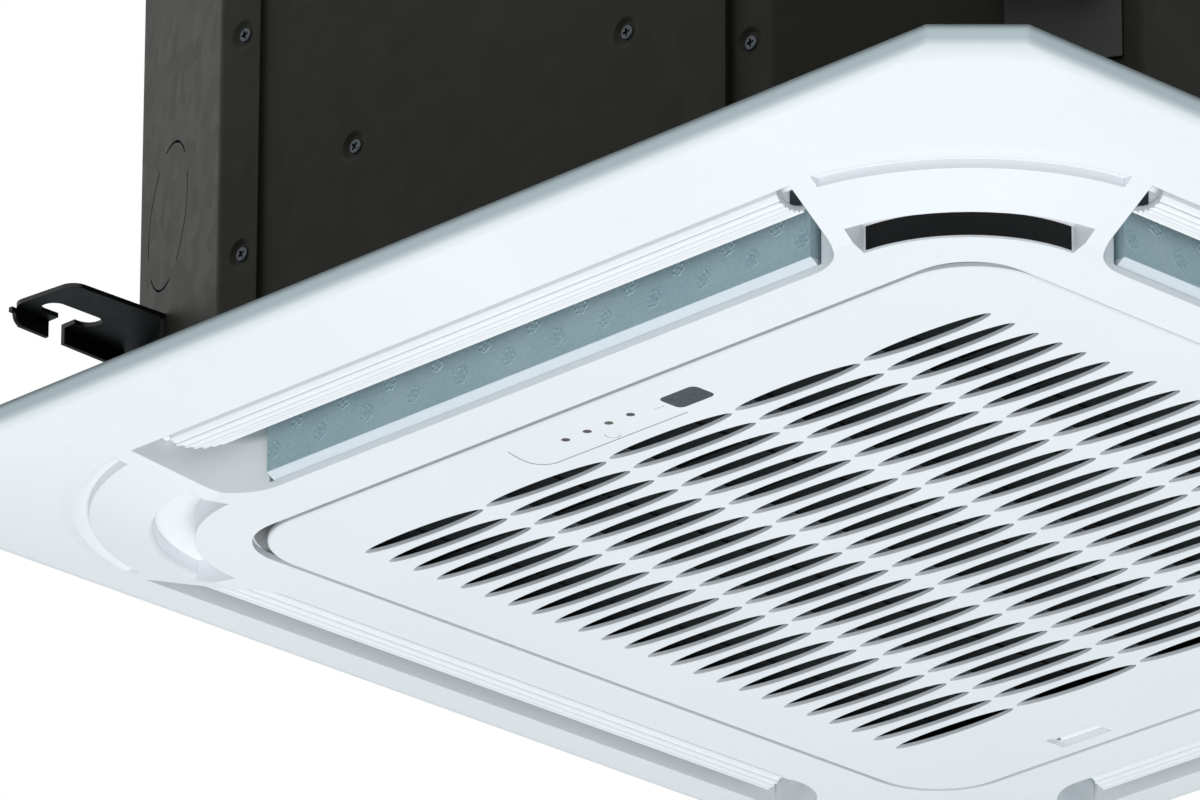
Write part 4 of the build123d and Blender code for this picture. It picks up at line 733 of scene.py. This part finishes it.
grille = settle(grille, "return_grille_rounded", finishes["grille_abs"], "grille")
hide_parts("return_grille")

# %% [markdown]
# ## Vent marks on the foam linings
# The moulds for expanded polystyrene let steam in through small slotted vents, and every vent leaves a
# faint rosette on the foam. They stand in two staggered rows, as on the lining in the photograph.

# %% Vent marks on the foam linings
mark_radius = 3.6 * MM
petal_count = 6
petal_radius = 1.5 * MM
petal_reach = 2.1 * MM
mark_line = 0.3 * MM
mark_pitch = 27 * MM
low_row = 13.9 * MM
high_row = 23.4 * MM

bpy.ops.object.select_all(action="DESELECT")
angles = [k * 2 * math.pi / petal_count for k in range(petal_count)]
petal_places = [(petal_reach * math.cos(angle), petal_reach * math.sin(angle), 0) for angle in angles]
petals = []
for place in petal_places + [(0, 0, 0)]:
    bpy.ops.mesh.primitive_torus_add(major_segments=12, minor_segments=4, major_radius=petal_radius,
                                     minor_radius=mark_line, location=place)
    petals.append(bpy.context.active_object)
vent_mark = joined(petals)
place_applied(vent_mark)

half_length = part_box("outlet_foam_front")[1][0]
onto_face = Matrix.Rotation(math.pi / 2, 4, "X")
marks = []
for row, shift in ((low_row, 0.5), (high_row, 0.0)):
    count = int(half_length / mark_pitch)
    for k in range(-count - 1, count + 1):
        along = (k + shift) * mark_pitch
        if abs(along) < half_length - mark_radius:
            middle = Matrix.Translation((along, -lining_face, row))
            spin = Matrix.Rotation(turns.uniform(0, math.pi), 4, "Z")
            marks.append(copied(vent_mark, middle @ onto_face @ spin))
bpy.data.objects.remove(vent_mark)
mark_row = joined(marks)
place_applied(mark_row)
for side, turn in outlets:
    row = copied(mark_row, Matrix.Rotation(math.radians(turn), 4, "Z"))
    settle(row, "foam_vent_marks_" + side, finishes["eps_foam"], "cabinet")
bpy.data.objects.remove(mark_row)

# %% [markdown]
# ## Display cover
# The lamps, the buzzer's holes and the test button sit in one cover that is let into the grille. Only its
# hairline edge shows: it runs along the cover's left end and its side towards the slots, and ends at the
# receiver window.

# %% Display cover
cover_left = -61.5 * MM
cover_near = -172.0 * MM
cover_far = -193.5 * MM
cover_end = 20.0 * MM
cover_round = 9.0 * MM
cover_slant = 2.0 * MM
cover_line = 0.22 * MM
bend = 5.0 * MM

bpy.ops.object.select_all(action="DESELECT")
bpy.ops.curve.primitive_bezier_curve_add()
cover_edge = bpy.context.active_object
spline = cover_edge.data.splines[0]
spline.bezier_points.add(2)
knots = (
    ((cover_left + cover_slant, cover_far, 0), (-0.2 * bend, 0.8 * bend, 0)),
    ((cover_left, cover_near - cover_round, 0), (0, bend, 0)),
    ((cover_left + cover_round, cover_near, 0), (bend, 0, 0)),
    ((cover_end, cover_near, 0), (bend, 0, 0)),
)
for point, (place, lead) in zip(spline.bezier_points, knots):
    point.handle_left_type = "FREE"
    point.handle_right_type = "FREE"
    point.co = place
    point.handle_left = Vector(place) - Vector(lead)
    point.handle_right = Vector(place) + Vector(lead)
cover_edge.data.bevel_depth = cover_line
cover_edge.data.bevel_resolution = 1
cover_edge.data.use_fill_caps = True
bpy.ops.object.convert(target="MESH")
cover = settle(bpy.context.active_object, "display_cover_edge", finishes["grey_plastic"], "grille")

# %% [markdown]
# ## Latch grips
# Each latch is slid with a fingertip, so its tab has four small ribs across it.

# %% Latch grips
rib_count = 4
rib_radius = 0.35 * MM
rib_pitch = 0.75 * MM
rib_share = 0.7
rib_y = 190 * MM

for side in ("left", "right"):
    low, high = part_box("grille_latch_" + side)
    middle_x = (low[0] + high[0]) / 2
    rib_length = (high[0] - low[0]) * rib_share
    ribs = []
    for k in range(rib_count):
        bpy.ops.object.select_all(action="DESELECT")
        bpy.ops.mesh.primitive_cylinder_add(vertices=12, radius=rib_radius, depth=rib_length,
                                            location=(middle_x, rib_y, low[2] + (k + 1) * rib_pitch),
                                            rotation=(0, math.pi / 2, 0))
        ribs.append(bpy.context.active_object)
    grip = settle(joined(ribs), "latch_grip_" + side, finishes["grille_abs"], side + "_latch")

# %% [markdown]
# ## Studio
# The unit hangs over a plain pale floor, which can be looked through from below. One large soft lamp below
# shines up at the panel, as in the photograph, where the panel is almost white and the steep rim and the
# casing walls, which face sideways, stay dark. A second one above and behind lights the sides that the
# photograph doesn't show. The world is white to the camera and in reflections, and gives only a little
# light of its own.

# %% Studio
floor_height = -2.7
floor_half = 40.0
ambient_colour = "E4FAFF"
ambient_strength = 0.3
key_place = (0.5, -0.7, -2.4)
key_aim = (0, 0, 0)
key_size = 2.4
key_power = 63
rear_place = (-1.5, 2.0, 3.5)
rear_aim = (0, 0, 0.1)
rear_size = 2.5
rear_power = 100

bpy.ops.object.select_all(action="DESELECT")
bpy.ops.mesh.primitive_plane_add(size=2 * floor_half, location=(0, 0, floor_height))
floor = bpy.context.active_object
floor.name = "studio_floor"
floor_material, floor_tree, floor_shader = new_material("pale studio floor")
floor_shader.inputs["Base Color"].default_value = linear("F2F3F5")
floor_shader.inputs["Roughness"].default_value = 0.9
clear = add_node(floor_tree, "ShaderNodeBsdfTransparent")
from_below = add_node(floor_tree, "ShaderNodeNewGeometry").outputs["Backfacing"]
shown = add_node(floor_tree, "ShaderNodeMixShader", Fac=from_below, i1=floor_shader.outputs["BSDF"],
                 i2=clear.outputs["BSDF"])
floor_tree.links.new(shown.outputs["Shader"], floor_tree.nodes["Material Output"].inputs["Surface"])
floor.data.materials.append(floor_material)

world = bpy.data.worlds.new("studio_world")
bpy.context.scene.world = world
world.use_nodes = True
world_tree = world.node_tree
world_tree.nodes.clear()
paths = add_node(world_tree, "ShaderNodeLightPath")
direct = add_node(world_tree, "ShaderNodeMath", dict(operation="MAXIMUM"), i0=paths.outputs["Is Camera Ray"],
                  i1=paths.outputs["Is Transmission Ray"])
seen = add_node(world_tree, "ShaderNodeMath", dict(operation="MAXIMUM"), i0=direct.outputs[0],
                i1=paths.outputs["Is Glossy Ray"])
ambient = add_node(world_tree, "ShaderNodeBackground", Color=linear(ambient_colour),
                   Strength=ambient_strength)
white = add_node(world_tree, "ShaderNodeBackground", Color=(1, 1, 1, 1), Strength=1.0)
sky = add_node(world_tree, "ShaderNodeMixShader", Fac=seen.outputs[0], i1=ambient.outputs["Background"],
               i2=white.outputs["Background"])
add_node(world_tree, "ShaderNodeOutputWorld", Surface=sky.outputs["Shader"])


def soft_lamp(name, place, aim, size, power):
    """A square soft lamp at place that shines towards aim and isn't seen itself."""
    data = bpy.data.lights.new(name, "AREA")
    data.shape = "SQUARE"
    data.size = size
    data.energy = power
    lamp = bpy.data.objects.new(name, data)
    bpy.context.scene.collection.objects.link(lamp)
    lamp.location = place
    lamp.rotation_mode = "QUATERNION"
    lamp.rotation_quaternion = (Vector(aim) - Vector(place)).to_track_quat("-Z", "Y")
    lamp.visible_camera = False
    lamp.visible_glossy = False


soft_lamp("lamp_below", key_place, key_aim, key_size, key_power)
soft_lamp("lamp_above", rear_place, rear_aim, rear_size, rear_power)
bpy.context.scene.view_settings.view_transform = "Standard"
print("lamps and floor in place")
